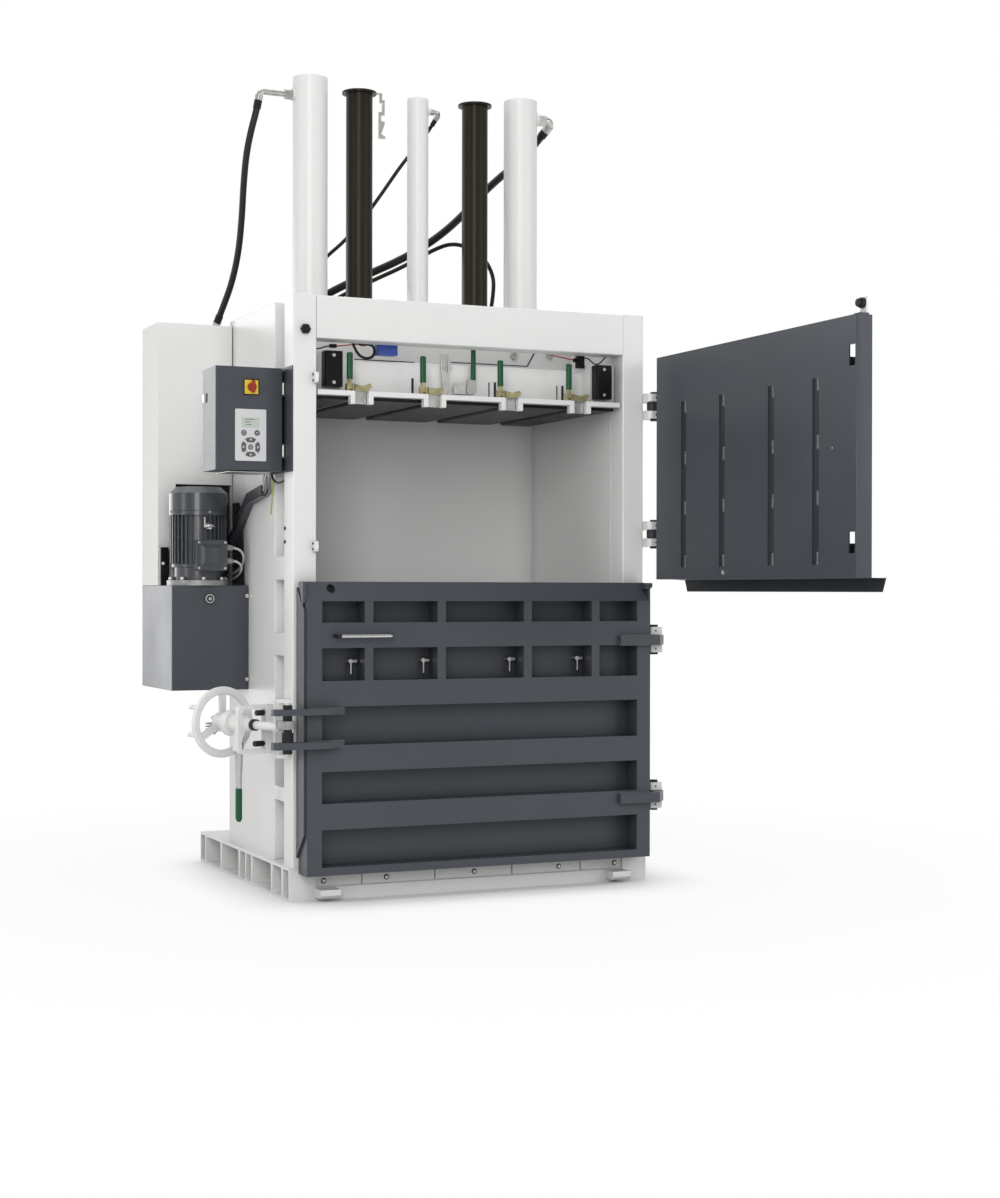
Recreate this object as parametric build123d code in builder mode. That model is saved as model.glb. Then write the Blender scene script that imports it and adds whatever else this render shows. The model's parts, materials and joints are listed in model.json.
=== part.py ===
import math
import os

from build123d import *

os.makedirs("parts", exist_ok=True)

# Millimetres. X runs to the right, Y to the back and Z up. The origin is on the floor,
# under the plane of the press cylinders, midway between the side walls.

# Base of rectangular tubes laid side by side
base_width = 1386.0
base_front = -556.0
base_depth = 1121.0
base_height = 117.0
base_wall = 10.0
base_corner = 8.0
base_openings = [(7, 64), (85, 186), (206, 426), (444, 503), (517, 583), (602, 821), (841, 1041), (1055, 1113)]
strap_slot_width = 5.0
strap_slot_depth = 7.0
strap_pitch_inner = 300.0
strap_inset = 170.0
sill_height = 48.0
sill_reach = 7.0
foot_width = 72.0
foot_reach = 62.0
foot_height = 30.0
foot_clear = 13.0
foot_x = 562.0

# Upright frame
frame_top = 2090.0
chamber_half = 595.0
column_outer = 680.0
column_depth = 98.0
column_wall = 5.0
wall_outer = 668.0
wall_recess = 607.0
wall_panel_front = -315.0
wall_back = 240.0
sheet = 6.0
rung_levels = [(330, 379), (840, 921), (1106, 1190)]
back_rib_depth = 48.0
back_rib_height = 70.0
back_rib_count = 5
crossbeam_height = 148.0
head_half_depth = 110.0
head_bottom = 1922.0
head_height = 140.0

# Cylinders, piston rods and guide tubes
cylinder_x = 432.0
cylinder_radius = 65.0
cylinder_bore = 50.0
cylinder_top = 2985.0
center_radius = 40.5
center_bore = 30.0
center_top = 2950.0
port_boss = 7.0
cylinder_drop = 14.0
cylinder_flange = 20.0
rod_radius = 32.0
center_rod_radius = 17.0
guide_x = 237.5
guide_radius = 50.0
guide_bore = 44.0
guide_top = 2950.0
guide_flange_radius = 65.0
guide_flange = 8.0
running_gap = 0.6
seat_gap = 0.2

# Ram
platen_top = 1765.0
platen_thick = 18.0
platen_half = 588.0
platen_front = -548.0
platen_back = 232.0
pad_thick = 12.0
pad_front = -512.0
channel_width = 42.0
beam_front = -434.0
beam_depth = 100.0
beam_height = 122.0
beam_end_width = 100.0
beam_end_front = -495.0
beam_end_height = 140.0
main_beam_half = 92.0
block_thick = 48.0
block_width = 66.0
block_height = 124.0
lever_offset = -40.0
lever_y = -530.0
lever_pivot = 13.0
lever_shank = 6.0
ear_gap = 6.6
lever_length = 122.0
release_x = 28.0
release_y = -446.0
release_pivot = 32.0
release_length = 156.0

# Hinges at the right front corner: one upright axis for the flap and the door
pin_x = 713.0
pin_y = -580.0
pin_radius = 10.0
pin_gap = 0.3
arm_reach = 25.0
door_arm_levels = [(296, 333), (872, 908)]
flap_arm_levels = [(1264, 1296), (1736, 1769)]
lug_gap = 1.0
lug_thick = 28.0

# Lower door
door_half = 660.0
door_bottom = 97.0
door_top = 1100.0
door_back = -560.0
door_front = -650.0
door_skin = 6.0
door_stile = 54.0
door_slope_depth = 46.0
door_rows = [(125, 253), (342, 451), (541, 673), (761, 873), (960, 1033)]
rib_rows = 2
rib_width = 31.0
rib_inner = 332.0
rib_outer = 872.0
cheek = 8.0
horn = 4.0

# Latch: spindle hung on a bolt between two ears of the door
ear_levels = [(533, 557), (648, 669)]
bolt_x = -735.0
bolt_y = -670.0
bolt_radius = 9.0
eye_bottom = 602.0
eye_top = 630.0
spindle_level = 607.0
spindle_angle = 18.0
spindle_radius = 15.0
yoke_distance = 190.0
yoke_bar_offset = 52.0
yoke_bar = 30.0
yoke_loop_offset = -68.0
yoke_rod = 8.0
yoke_bottom = 508.0
yoke_top = 677.0
keeper_reach = 40.0
keeper_gap = 4.0
housing_radius = 34.0
housing_start = 205.0
housing_flange_radius = 46.0
housing_flange = 34.0
housing_end = 338.0
wheel_distance = 388.0
wheel_radius = 125.0
rim_width = 28.0
lever_distance = 287.0
lever_pivot_level = 538.0
lever_cheek = 7.8
lever_pin = 4.0
latch_lever_end = 265.0
latch_grip_length = 116.0

# Loading flap, standing open at a right angle to the front
flap_inner = 693.0
flap_thick = 58.0
flap_sheet = 5.0
flap_hinge_edge = -635.0
flap_free_edge = -1913.0
flap_bottom = 1112.0
flap_top = 1926.0
flap_rib_places = [0.145, 0.34, 0.575, 0.79]
flap_rib_width = 40.0
flap_rib_bottom = 50.0
flap_rib_top = [700, 712, 724, 736]
seam_width = 22.0
seam_depth = 2.0
skirt_reach = 50.0
skirt_drop = 46.0
skirt_thick = 5.0
buffer_radius = 17.0
buffer_level = 37.0
buffer_plate = 8.0
catch_levels = [1221.0, 1802.0]
catch_height = 38.0
slot_height = 66.0

# Control cabinet on the left column
cabinet_left = -932.0
cabinet_front = -482.0
cabinet_back = -319.0
cabinet_bottom = 1482.0
cabinet_top = 1837.0
cabinet_sheet = 2.5
cover_depth = 138.0
cabinet_plate = 4.0
cover_gap = 0.4
cabinet_hinge_inset = 6.0
cabinet_knuckle = 5.5
cabinet_pin = 3.0

# Power unit on the left side wall
tank_left = -957.0
tank_front = 0.0
tank_back = 445.0
tank_bottom = 704.0
tank_top = 1087.0
tank_sheet = 4.0
cover_front = 206.0
cover_top = 2068.0
motor_x = -832.0
motor_y = 100.0
motor_radius = 104.0
motor_flange_radius = 115.0
motor_flange = 19.0
motor_neck = 60.0
fin_count = 36
fin_depth = 14.0
fin_thick = 5.0
fin_top = 1345.0
cowl_top = 1450.0
shaft_radius = 18.0
shaft_gap = 0.4


def keep(builder, name):
    """Names a finished piece and writes it."""
    builder.part.label = name
    export_step(builder.part, f"parts/{name}.step")


def block(x_span, y_span, z_span, mode=Mode.ADD):
    """Adds or cuts a block between two planes along each axis."""
    with BuildSketch(Plane.XY.offset(z_span[0])) as outline:
        with Locations((sum(x_span) / 2, sum(y_span) / 2)):
            Rectangle(abs(x_span[1] - x_span[0]), abs(y_span[1] - y_span[0]))
    extrude(outline.sketch, amount=z_span[1] - z_span[0], mode=mode)


def disc(x, y, radius, z_span, mode=Mode.ADD):
    """Adds or cuts an upright round bar."""
    with BuildSketch(Plane.XY.offset(z_span[0])) as outline:
        with Locations((x, y)):
            Circle(radius)
    extrude(outline.sketch, amount=z_span[1] - z_span[0], mode=mode)


def plate(points, z_span, mode=Mode.ADD):
    """Adds or cuts a flat plate from its outline seen from above."""
    with BuildSketch(Plane.XY.offset(z_span[0])) as outline:
        with BuildLine():
            Polyline(*points, close=True)
        make_face()
    extrude(outline.sketch, amount=z_span[1] - z_span[0], mode=mode)


def stub(start, toward, radius, length, sides=0):
    """A short round or hexagonal piece that starts at a point and runs one way."""
    with BuildSketch(Plane(origin=start, z_dir=toward)) as outline:
        if sides:
            RegularPolygon(radius, sides)
        else:
            Circle(radius)
    extrude(outline.sketch, amount=length)


strap_outer = chamber_half - strap_inset
strap_x = [-strap_outer, -strap_pitch_inner / 2, strap_pitch_inner / 2, strap_outer]

# Base frame: open tube ends on both sides, channels for the straps, and two welded feet in front
base_middle = base_front + base_depth / 2
with BuildPart() as base_frame:
    with BuildSketch(Plane.YZ.offset(-base_width / 2)):
        with Locations((base_middle, base_height / 2)):
            Rectangle(base_depth, base_height)
        for start, end in base_openings:
            with Locations((base_front + (start + end) / 2, base_height / 2)):
                RectangleRounded(end - start, base_height - 2 * base_wall, base_corner, mode=Mode.SUBTRACT)
    extrude(amount=base_width)
    recess = (base_front, base_front + sill_reach)
    backing = (recess[1], recess[1] + strap_slot_depth + sheet)
    block((-chamber_half - sheet, chamber_half + sheet), backing, (base_wall / 2, base_height))
    block((-chamber_half, chamber_half), recess, (sill_height, base_height), Mode.SUBTRACT)
    sill = base_frame.edges().filter_by(Axis.X).group_by(Axis.Y)[0].filter_by_position(Axis.Z, sill_height, sill_height)
    chamfer(sill, sill_reach * 0.6, sill_reach * 0.9)
    for x in strap_x:
        slot = (x - strap_slot_width / 2, x + strap_slot_width / 2)
        block(slot, (base_front, backing[1] - sheet), (sill_height, base_height), Mode.SUBTRACT)
        block(slot, (base_front, wall_back), (base_height - strap_slot_depth, base_height), Mode.SUBTRACT)
    for side in (-1, 1):
        span = (side * foot_x - foot_width / 2, side * foot_x + foot_width / 2)
        block(span, (base_front - foot_reach, base_front), (foot_clear, foot_clear + foot_height))
    chamfer(base_frame.edges().filter_by(Axis.X).group_by(Axis.Y)[0].group_by(Axis.Z)[0], foot_height / 3)
keep(base_frame, "base_frame")

# Round-headed bolts of the front skirting and the hexagon caps of the columns
bolt_head = 6.5
bolt_reach = 5.0
bolt_level = 66.0
bolt_x_places = [-565.0, -333.0, 2.0, 338.0, 566.0]
cap_width = 36.0
cap_level = 1968.0
with BuildPart() as frame_bolts:
    with BuildSketch(Plane.XZ.offset(-(base_front + sill_reach))):
        with Locations(*[(x, bolt_level) for x in bolt_x_places]):
            Circle(bolt_head)
    extrude(amount=bolt_reach)
    fillet(frame_bolts.edges().group_by(Axis.Y)[0], bolt_reach / 2)
    with BuildSketch(Plane.XZ.offset(-base_front)):
        with Locations((-(chamber_half + column_outer) / 2, cap_level), ((chamber_half + column_outer) / 2, cap_level)):
            RegularPolygon(cap_width / 2, 6)
    extrude(amount=2 * bolt_head)
keep(frame_bolts, "frame_bolts")

# Front columns: closed rectangular tubes
column_span = (base_front, base_front + column_depth)
with BuildPart() as front_columns:
    for side in (-1, 1):
        block((side * chamber_half, side * column_outer), column_span, (base_height, frame_top))
    fillet(front_columns.edges().filter_by(Axis.Z).group_by(Axis.Y)[0], column_wall)
    for side in (-1, 1):
        inner = (side * (chamber_half + column_wall), side * (column_outer - column_wall))
        depth = (column_span[0] + column_wall, column_span[1] - column_wall)
        block(inner, depth, (base_height + column_wall, frame_top - column_wall), Mode.SUBTRACT)
keep(front_columns, "front_columns")

# Side walls: folded box section, recessed next to the column and bridged by rungs
with BuildPart() as side_walls:
    for side in (-1, 1):
        outline = [
            (side * chamber_half, column_span[1]),
            (side * wall_recess, column_span[1]),
            (side * wall_recess, wall_panel_front),
            (side * wall_outer, wall_panel_front),
            (side * wall_outer, wall_back),
            (side * chamber_half, wall_back),
        ]
        plate(outline, (base_height, frame_top))
        for low, high in rung_levels:
            block((side * wall_recess, side * wall_outer), (column_span[1], wall_panel_front), (low, high))
        core = (side * (chamber_half + sheet), side * (wall_outer - sheet))
        depth = (wall_panel_front + sheet, wall_back - sheet)
        block(core, depth, (base_height + sheet, frame_top - sheet), Mode.SUBTRACT)
keep(side_walls, "side_walls")

# Back wall with horizontal ribs
rib_pitch = (frame_top - base_height) / (back_rib_count + 0.6)
with BuildPart() as back_wall:
    block((-wall_outer, wall_outer), (wall_back, wall_back + sheet), (base_height, frame_top))
    for index in range(back_rib_count):
        low = base_height + rib_pitch * (index + 0.45)
        span = (wall_back + sheet, wall_back + sheet + back_rib_depth)
        block((-wall_outer, wall_outer), span, (low, low + back_rib_height))
    chamfer(back_wall.edges().filter_by(Axis.X).group_by(Axis.Y)[-1], back_rib_depth / 3)
keep(back_wall, "back_wall")

# Front crossbeam between the columns
with BuildPart() as front_crossbeam:
    with BuildSketch(Plane.YZ.offset(-chamber_half)):
        with Locations((base_front + column_depth / 2, frame_top - 2 - crossbeam_height / 2)):
            RectangleRounded(column_depth, crossbeam_height, column_wall)
            Rectangle(column_depth - 2 * column_wall, crossbeam_height - 2 * column_wall, mode=Mode.SUBTRACT)
    extrude(amount=2 * chamber_half)
crossbeam_bottom = frame_top - 2 - crossbeam_height
keep(front_crossbeam, "front_crossbeam")

# Press head: box beam that carries the cylinders, guides the tubes and lets the cam plate through
head_top = head_bottom + head_height
bush_wall = 8.0
cam_left = -guide_x + guide_flange_radius - 12
cam_thick = 6.0
cam_width = 50.0
cam_low_inset = 24.0
cam_clear = 4.0
with BuildPart() as press_head:
    block((-chamber_half, chamber_half), (-head_half_depth, head_half_depth), (head_bottom, head_top))
    for side in (-1, 1):
        disc(side * guide_x, 0, guide_radius + bush_wall + seat_gap, (head_bottom, head_top), Mode.SUBTRACT)
        disc(side * cylinder_x, 0, cylinder_radius + seat_gap, (head_bottom, head_top), Mode.SUBTRACT)
    disc(0, 0, center_radius + seat_gap, (head_bottom, head_top), Mode.SUBTRACT)
    cam_slot = (cam_left + cam_low_inset - cam_clear, cam_left + cam_width + cam_clear)
    block(cam_slot, (-cam_thick / 2 - cam_clear, cam_thick / 2 + cam_clear), (head_bottom, head_top), Mode.SUBTRACT)
keep(press_head, "press_head")

# Collared bushes that the guide tubes run in
with BuildPart() as guide_bushes:
    for side in (-1, 1):
        disc(side * guide_x, 0, guide_radius + bush_wall, (head_bottom, head_top))
        disc(side * guide_x, 0, guide_radius + 2 * bush_wall, (head_top, head_top + bush_wall))
        disc(side * guide_x, 0, guide_radius + running_gap, (head_bottom, head_top + bush_wall), Mode.SUBTRACT)
keep(guide_bushes, "guide_bushes")

# Cylinders: blind tubes with a seating flange, a gland at the foot and a boss for the hose
beam_top = platen_top + beam_height
cylinder_foot = head_bottom - cylinder_drop
gland = 40.0
left_cylinder = (-cylinder_x, cylinder_radius, cylinder_bore, rod_radius, cylinder_top)
right_cylinder = (cylinder_x, cylinder_radius, cylinder_bore, rod_radius, cylinder_top)
middle_cylinder = (0, center_radius, center_bore, center_rod_radius, center_top)
left_port = (-1, 2914.0, 22.0)
right_port = (1, 2920.0, 26.0)
middle_port = (1, 2906.0, 15.0)


def cylinder(x, radius, bore, rod, top, side, level, port_radius):
    """Adds one cylinder with its port on the given side and level."""
    disc(x, 0, radius, (cylinder_foot, top))
    disc(x, 0, radius + 20, (head_top, head_top + cylinder_flange))
    with BuildSketch(Plane.YZ.offset(x)) as outline:
        with Locations((0, level)):
            Circle(port_radius)
    extrude(outline.sketch, amount=side * (radius + port_boss))
    disc(x, 0, bore, (cylinder_foot + gland, top - 25), Mode.SUBTRACT)
    disc(x, 0, rod + running_gap, (cylinder_foot, cylinder_foot + gland), Mode.SUBTRACT)


with BuildPart() as outer_cylinders:
    cylinder(*left_cylinder, *left_port)
    cylinder(*right_cylinder, *right_port)
    chamfer(outer_cylinders.edges().group_by(Axis.Z)[-1], 4)
keep(outer_cylinders, "outer_cylinders")
with BuildPart() as middle_press_cylinder:
    cylinder(*middle_cylinder, *middle_port)
    chamfer(middle_press_cylinder.edges().group_by(Axis.Z)[-1], 4)
keep(middle_press_cylinder, "middle_cylinder")

# Piston rods with their pistons, standing on the ram beam
with BuildPart() as piston_rods:
    for x, radius, bore, rod, top in (left_cylinder, right_cylinder, middle_cylinder):
        disc(x, 0, rod, (beam_top, top - 110))
        disc(x, 0, bore - running_gap, (top - 110, top - 60))
keep(piston_rods, "piston_rods")

# Guide tubes of the ram, with end flanges
with BuildPart() as guide_tubes:
    for side in (-1, 1):
        disc(side * guide_x, 0, guide_radius, (beam_top, guide_top))
        disc(side * guide_x, 0, guide_flange_radius, (guide_top - guide_flange, guide_top))
        disc(side * guide_x, 0, guide_bore, (beam_top + 10, guide_top), Mode.SUBTRACT)
keep(guide_tubes, "guide_tubes")

# Toothed cam plate hung from the left guide flange
with BuildPart() as cam_plate:
    with BuildSketch(Plane.XZ.offset(-cam_thick / 2)):
        with BuildLine():
            Polyline(
                (cam_left, guide_top + 5),
                (cam_left + 38, guide_top + 5),
                (cam_left + 38, guide_top - 20),
                (cam_left + 48, guide_top - 20),
                (cam_left + 48, guide_top - 78),
                (cam_left + 34, guide_top - 78),
                (cam_left + 34, guide_top - 100),
                (cam_left + 48, guide_top - 100),
                (cam_left + 48, guide_top - 112),
                (cam_left + 34, guide_top - 150),
                (cam_left + cam_width, guide_top - 156),
                (cam_left + cam_width, guide_top - 166),
                (cam_left + cam_low_inset, guide_top - 166),
                (cam_left + cam_low_inset, guide_top - 66),
                (cam_left + 38, guide_top - 66),
                (cam_left + 38, guide_top - 32),
                (cam_left + 28, guide_top - 32),
                (cam_left + 28, guide_top),
                (cam_left, guide_top),
                close=True,
            )
        make_face()
    extrude(amount=cam_thick)
keep(cam_plate, "cam_plate")

# Platen with notches and lugs at each strap, and the pads under it with channels for the straps
notch_half = 25.0
notch_depth = 28.0
lug_width = 18.0
lug_drop = 28.0
with BuildPart() as platen:
    block((-platen_half, platen_half), (platen_front, platen_back), (platen_top - platen_thick, platen_top))
    for x in strap_x:
        notch = (x - notch_half, x + notch_half)
        block(notch, (platen_front, platen_front + notch_depth), (platen_top - platen_thick, platen_top), Mode.SUBTRACT)
        for shift in (-notch_half - lug_width / 2, notch_half + lug_width / 2):
            span = (x + shift - lug_width / 2, x + shift + lug_width / 2)
            lug = (platen_top - platen_thick - lug_drop, platen_top - platen_thick)
            block(span, (platen_front, platen_front + notch_depth), lug)
keep(platen, "platen")

pad_edges = [-platen_half + 8] + [x + s * channel_width / 2 for x in strap_x for s in (-1, 1)] + [platen_half - 8]
with BuildPart() as platen_pads:
    for left, right in zip(pad_edges[0::2], pad_edges[1::2]):
        low = platen_top - platen_thick - pad_thick
        block((left, right), (pad_front, platen_back - 10), (low, low + pad_thick))
    chamfer(platen_pads.edges().filter_by(Axis.Y).group_by(Axis.Z)[0], pad_thick / 2)
keep(platen_pads, "platen_pads")

# Ram beam: front beam with end boxes, cross web and the beam under the cylinders
beam_back = beam_front + beam_depth
slit_width = 7.0
slit_height = 62.0
with BuildPart() as ram_beam:
    block((-platen_half, platen_half), (beam_front, beam_back), (platen_top, beam_top))
    fillet(ram_beam.edges().filter_by(Axis.X).group_by(Axis.Z)[-1], 8)
    for side in (-1, 1):
        ends = (side * (platen_half - beam_end_width), side * platen_half)
        block(ends, (beam_end_front, beam_back), (platen_top, platen_top + beam_end_height))
    block((-60, 60), (beam_back, -main_beam_half), (platen_top, beam_top - 20))
    block((-platen_half + 30, platen_half - 30), (-main_beam_half, main_beam_half), (platen_top, beam_top))
    for x in strap_x[1:]:
        slit = (x - 42 - slit_width / 2, x - 42 + slit_width / 2)
        block(slit, (beam_front, beam_front + 40), (platen_top + 2, platen_top + 2 + slit_height), Mode.SUBTRACT)
keep(ram_beam, "ram_beam")

# Slide blocks screwed to the end boxes
block_x = platen_half - beam_end_width / 2 - 12
with BuildPart() as slide_blocks:
    for side in (-1, 1):
        span = (side * block_x - block_width / 2, side * block_x + block_width / 2)
        block(span, (beam_end_front - block_thick, beam_end_front), (platen_top + 12, platen_top + 12 + block_height))
    chamfer(slide_blocks.edges().filter_by(Axis.Z), 7)
    with BuildSketch(Plane.XZ.offset(-(beam_end_front - block_thick))):
        for side in (-1, 1):
            with Locations((side * block_x, platen_top + 12 + block_height / 2)):
                with GridLocations(1, block_height - 30, 1, 2):
                    Circle(7)
    extrude(amount=-8, mode=Mode.SUBTRACT)
keep(slide_blocks, "slide_blocks")

# Clamp jaws for the strap ends, each over its notch, with the guide plate that hangs in it
guide_thick = 3.0
guide_drop = 44.0
jaw_front = platen_front + 4
jaw_back = lever_y + 22
with BuildPart() as clamp_jaws:
    for x in strap_x:
        with BuildSketch(Plane.XZ.offset(-jaw_back)):
            with BuildLine():
                Polyline(
                    (x - 24, platen_top),
                    (x + 24, platen_top),
                    (x + 38, platen_top + 16),
                    (x + 32, platen_top + 28),
                    (x + 4, platen_top + 18),
                    (x - 24, platen_top + 24),
                    close=True,
                )
            make_face()
        extrude(amount=jaw_back - jaw_front)
        guide = (x - notch_half + 2, x + notch_half - 2)
        guide_back = platen_front + notch_depth
        block(guide, (guide_back - guide_thick, guide_back), (platen_top - guide_drop, platen_top))
    for x in [x + lever_offset for x in strap_x]:
        for ear in ((x - 13, x - ear_gap), (x + ear_gap, x + 13)):
            block(ear, (lever_y - 12, lever_y + 12), (platen_top, platen_top + 2 * lever_pivot))
        with BuildSketch(Plane.YZ.offset(x - 13)) as pin:
            with Locations((lever_y, platen_top + lever_pivot)):
                Circle(lever_pin)
        extrude(pin.sketch, amount=26)
keep(clamp_jaws, "clamp_jaws")

# Release linkage on the beam: pivot pin of the release lever, its foot, and the notched stop plate with its rod
stop_x = -66.0
with BuildPart() as release_linkage:
    with BuildSketch(Plane.XZ.offset(-beam_front)):
        with Locations((release_x, platen_top + release_pivot)):
            Circle(lever_pin)
    extrude(amount=beam_front - release_y + 6)
    block((stop_x + 26, release_x - 20), (beam_front - 20, beam_front), (platen_top + 15, platen_top + 38))
    block((stop_x + 26, release_x - 20), (beam_front - 20, beam_front - 17), (platen_top + 38, platen_top + 54))
    with BuildSketch(Plane.XZ.offset(-(beam_front - 4))):
        with BuildLine():
            Polyline(
                (stop_x - 12, platen_top),
                (stop_x + 8, platen_top),
                (stop_x + 14, platen_top + 92),
                (stop_x + 23, platen_top + 106),
                (stop_x + 9, platen_top + 158),
                (stop_x - 22, platen_top + 156),
                (stop_x - 19, platen_top + 96),
                close=True,
            )
        make_face()
        for shift, level in ((-12, 124), (-3, 120), (5, 116)):
            with Locations((stop_x + shift, platen_top + level)):
                Rectangle(3, 50, mode=Mode.SUBTRACT)
    extrude(amount=5)
    block((stop_x - 6, stop_x + 6), (beam_front - 6, beam_front), (platen_top + 20, platen_top + 40))
    with BuildSketch(Plane.YZ.offset(-strap_pitch_inner / 2 + 22)):
        with Locations((beam_front - 6, platen_top + 30)):
            Circle(4)
    extrude(amount=stop_x - 8 + strap_pitch_inner / 2 - 22)
keep(release_linkage, "release_linkage")

# Strap levers: flat shank with a rounded foot at its pivot, and an oval grip
for index, x in enumerate(strap_x):
    x = x + lever_offset
    pivot = platen_top + lever_pivot
    with BuildPart() as lever:
        with BuildSketch(Plane.YZ.offset(x - lever_shank)):
            with Locations((lever_y, pivot)):
                Circle(10)
            with Locations((lever_y, pivot + 14)):
                Rectangle(14, 28)
            with Locations((lever_y, pivot)):
                Circle(lever_pin + pin_gap, mode=Mode.SUBTRACT)
        extrude(amount=2 * lever_shank)
        with BuildSketch(Plane.XY.offset(pivot + 28)):
            with Locations((x, lever_y)):
                Ellipse(11, 9)
        extrude(amount=lever_length - 28)
        fillet(lever.edges().group_by(Axis.Z)[-1], 6)
    keep(lever, f"strap_lever_{index + 1}")

# Release lever of the ram: flat paddle that turns on a pin of the beam, with its grip
release_thick = 8.0
with BuildPart() as release_lever:
    pivot = platen_top + release_pivot
    with BuildSketch(Plane.XZ.offset(-release_y - release_thick / 2)):
        with Locations((release_x, pivot)):
            Circle(16)
        with Locations((release_x + 4, pivot + 20)):
            Rectangle(32, 36)
        with Locations((release_x, pivot)):
            Circle(lever_pin + pin_gap, mode=Mode.SUBTRACT)
    extrude(amount=release_thick)
    with BuildSketch(Plane.XY.offset(pivot + 36)):
        with Locations((release_x + 12, release_y)):
            Ellipse(9, 8)
    extrude(amount=release_length - 36)
    fillet(release_lever.edges().group_by(Axis.Z)[-1], 5)
keep(release_lever, "release_lever")

# Hinge lugs welded to the right column, in pairs above and below each arm
arm_levels = door_arm_levels + flap_arm_levels
with BuildPart() as hinge_lugs:
    for low, high in arm_levels:
        for start in (low - lug_gap - lug_thick, high + lug_gap):
            lug = [
                (column_outer, pin_y + 94),
                (pin_x + arm_reach - 2, pin_y + 40),
                (pin_x + arm_reach - 2, pin_y - 23),
                (column_outer + 10, pin_y - 23),
                (column_outer, pin_y - 10),
            ]
            plate(lug, (start, start + lug_thick))
            disc(pin_x, pin_y, pin_radius + seat_gap, (start, start + lug_thick), Mode.SUBTRACT)
keep(hinge_lugs, "hinge_lugs")

# Hinge pins with round heads
pin_head = 8.0
with BuildPart() as hinge_pins:
    for low, high in arm_levels:
        ends = (low - lug_gap - lug_thick - pin_head, high + lug_gap + lug_thick + pin_head)
        disc(pin_x, pin_y, pin_radius, ends)
        disc(pin_x, pin_y, pin_radius + 5, (ends[0], ends[0] + pin_head))
        disc(pin_x, pin_y, pin_radius + 5, (ends[1] - pin_head, ends[1]))
keep(hinge_pins, "hinge_pins")

# Lower door: welded box with pockets between its rails, sloped along its top
with BuildPart() as lower_door:
    with BuildSketch(Plane.YZ.offset(-door_half)):
        with BuildLine():
            Polyline(
                (door_back, door_bottom),
                (door_front, door_bottom),
                (door_front, door_rows[-1][1]),
                (door_front + door_slope_depth, door_top),
                (door_back, door_top),
                close=True,
            )
        make_face()
    extrude(amount=2 * door_half)
    pocket_half = door_half - door_stile
    pocket_depth = door_front, door_back - door_skin
    for low, high in door_rows:
        block((-pocket_half, pocket_half), pocket_depth, (low, high), Mode.SUBTRACT)
    rib_x = [-rib_outer / 2, -rib_inner / 2, rib_inner / 2, rib_outer / 2]
    for row in door_rows[-rib_rows:]:
        for x in rib_x:
            block((x - rib_width / 2, x + rib_width / 2), pocket_depth, row)
    with BuildSketch(Plane.YZ.offset(-door_half - cheek)):
        with BuildLine():
            Polyline(
                (door_back, door_bottom + 55),
                (door_front + 10, door_bottom + 140),
                (door_front + 10, door_top - 95),
                (door_back, door_top - 20),
                close=True,
            )
        make_face()
    extrude(amount=cheek)
    with BuildSketch(Plane.YZ.offset(-door_half - cheek - horn)):
        with BuildLine():
            FilletPolyline(
                (door_front + 8, door_top - 92),
                (door_front + 8, door_top),
                (door_back - 28, door_top),
                (door_back - 38, door_top - 16),
                radius=6,
                close=True,
            )
        make_face()
    extrude(amount=cheek + horn)
    with BuildSketch(Plane.XZ.offset(-door_front)):
        with Locations((-door_half + 95, door_top - 24)):
            Circle(15)
    extrude(amount=-door_slope_depth - 20, mode=Mode.SUBTRACT)
keep(lower_door, "lower_door")

# Pull handle of the lower door: a bent round bar
handle_level = 914.0
handle_left = -560.0
handle_length = 200.0
handle_stand = 32.0
handle_radius = 6.0
with BuildPart() as door_handle:
    with BuildLine() as handle_line:
        FilletPolyline(
            (handle_left, door_front, handle_level),
            (handle_left, door_front - handle_stand, handle_level),
            (handle_left + handle_length, door_front - handle_stand, handle_level),
            (handle_left + handle_length, door_front, handle_level),
            radius=14,
        )
    with BuildSketch(Plane(origin=(handle_left, door_front, handle_level), z_dir=(0, -1, 0))):
        Circle(handle_radius)
    sweep()
keep(door_handle, "door_handle")

# Wire holders in the second row of pockets
holder_level = sum(door_rows[-2]) / 2 + 8
holder_foot = door_back - door_skin
with BuildPart() as wire_holders:
    for x in rib_x:
        left = x - rib_width / 2 - 30
        with BuildSketch(Plane.XZ.offset(-holder_foot)):
            with Locations((left, holder_level)):
                Circle(8)
        extrude(amount=26)
        block((left - 3, left + 3), (holder_foot - 26, holder_foot - 20), (holder_level - 44, holder_level))
        block((left, left + 24), (holder_foot - 22, holder_foot - 12), (holder_level - 5, holder_level + 5))
keep(wire_holders, "wire_holders")

# Hinge arms and latch ears of the door: flat bars laid on its front
arm_thick = 18.0
door_arm_lap = 130.0
with BuildPart() as door_arms:
    for low, high in door_arm_levels:
        arm = [
            (door_half - door_arm_lap, door_front),
            (door_half - door_arm_lap, door_front - arm_thick),
            (pin_x - 21, door_front - arm_thick),
            (pin_x + arm_reach, pin_y - 30),
            (pin_x + arm_reach, pin_y + 18),
            (pin_x - 21, pin_y + 18),
            (pin_x - 21, door_front + 14),
            (door_half, door_front),
        ]
        plate(arm, (low, high))
        disc(pin_x, pin_y, pin_radius + pin_gap, (low, high), Mode.SUBTRACT)
    for low, high in ear_levels:
        ear = [
            (-door_half + 135, door_front),
            (-door_half + 80, door_front - 30),
            (-door_half + 40, bolt_y - 20),
            (bolt_x - 42, bolt_y - 20),
            (bolt_x - 52, bolt_y - 10),
            (bolt_x - 52, door_front),
        ]
        plate(ear, (low, high))
        disc(bolt_x, bolt_y, bolt_radius + seat_gap, (low, high), Mode.SUBTRACT)
keep(door_arms, "door_arms")

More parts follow.
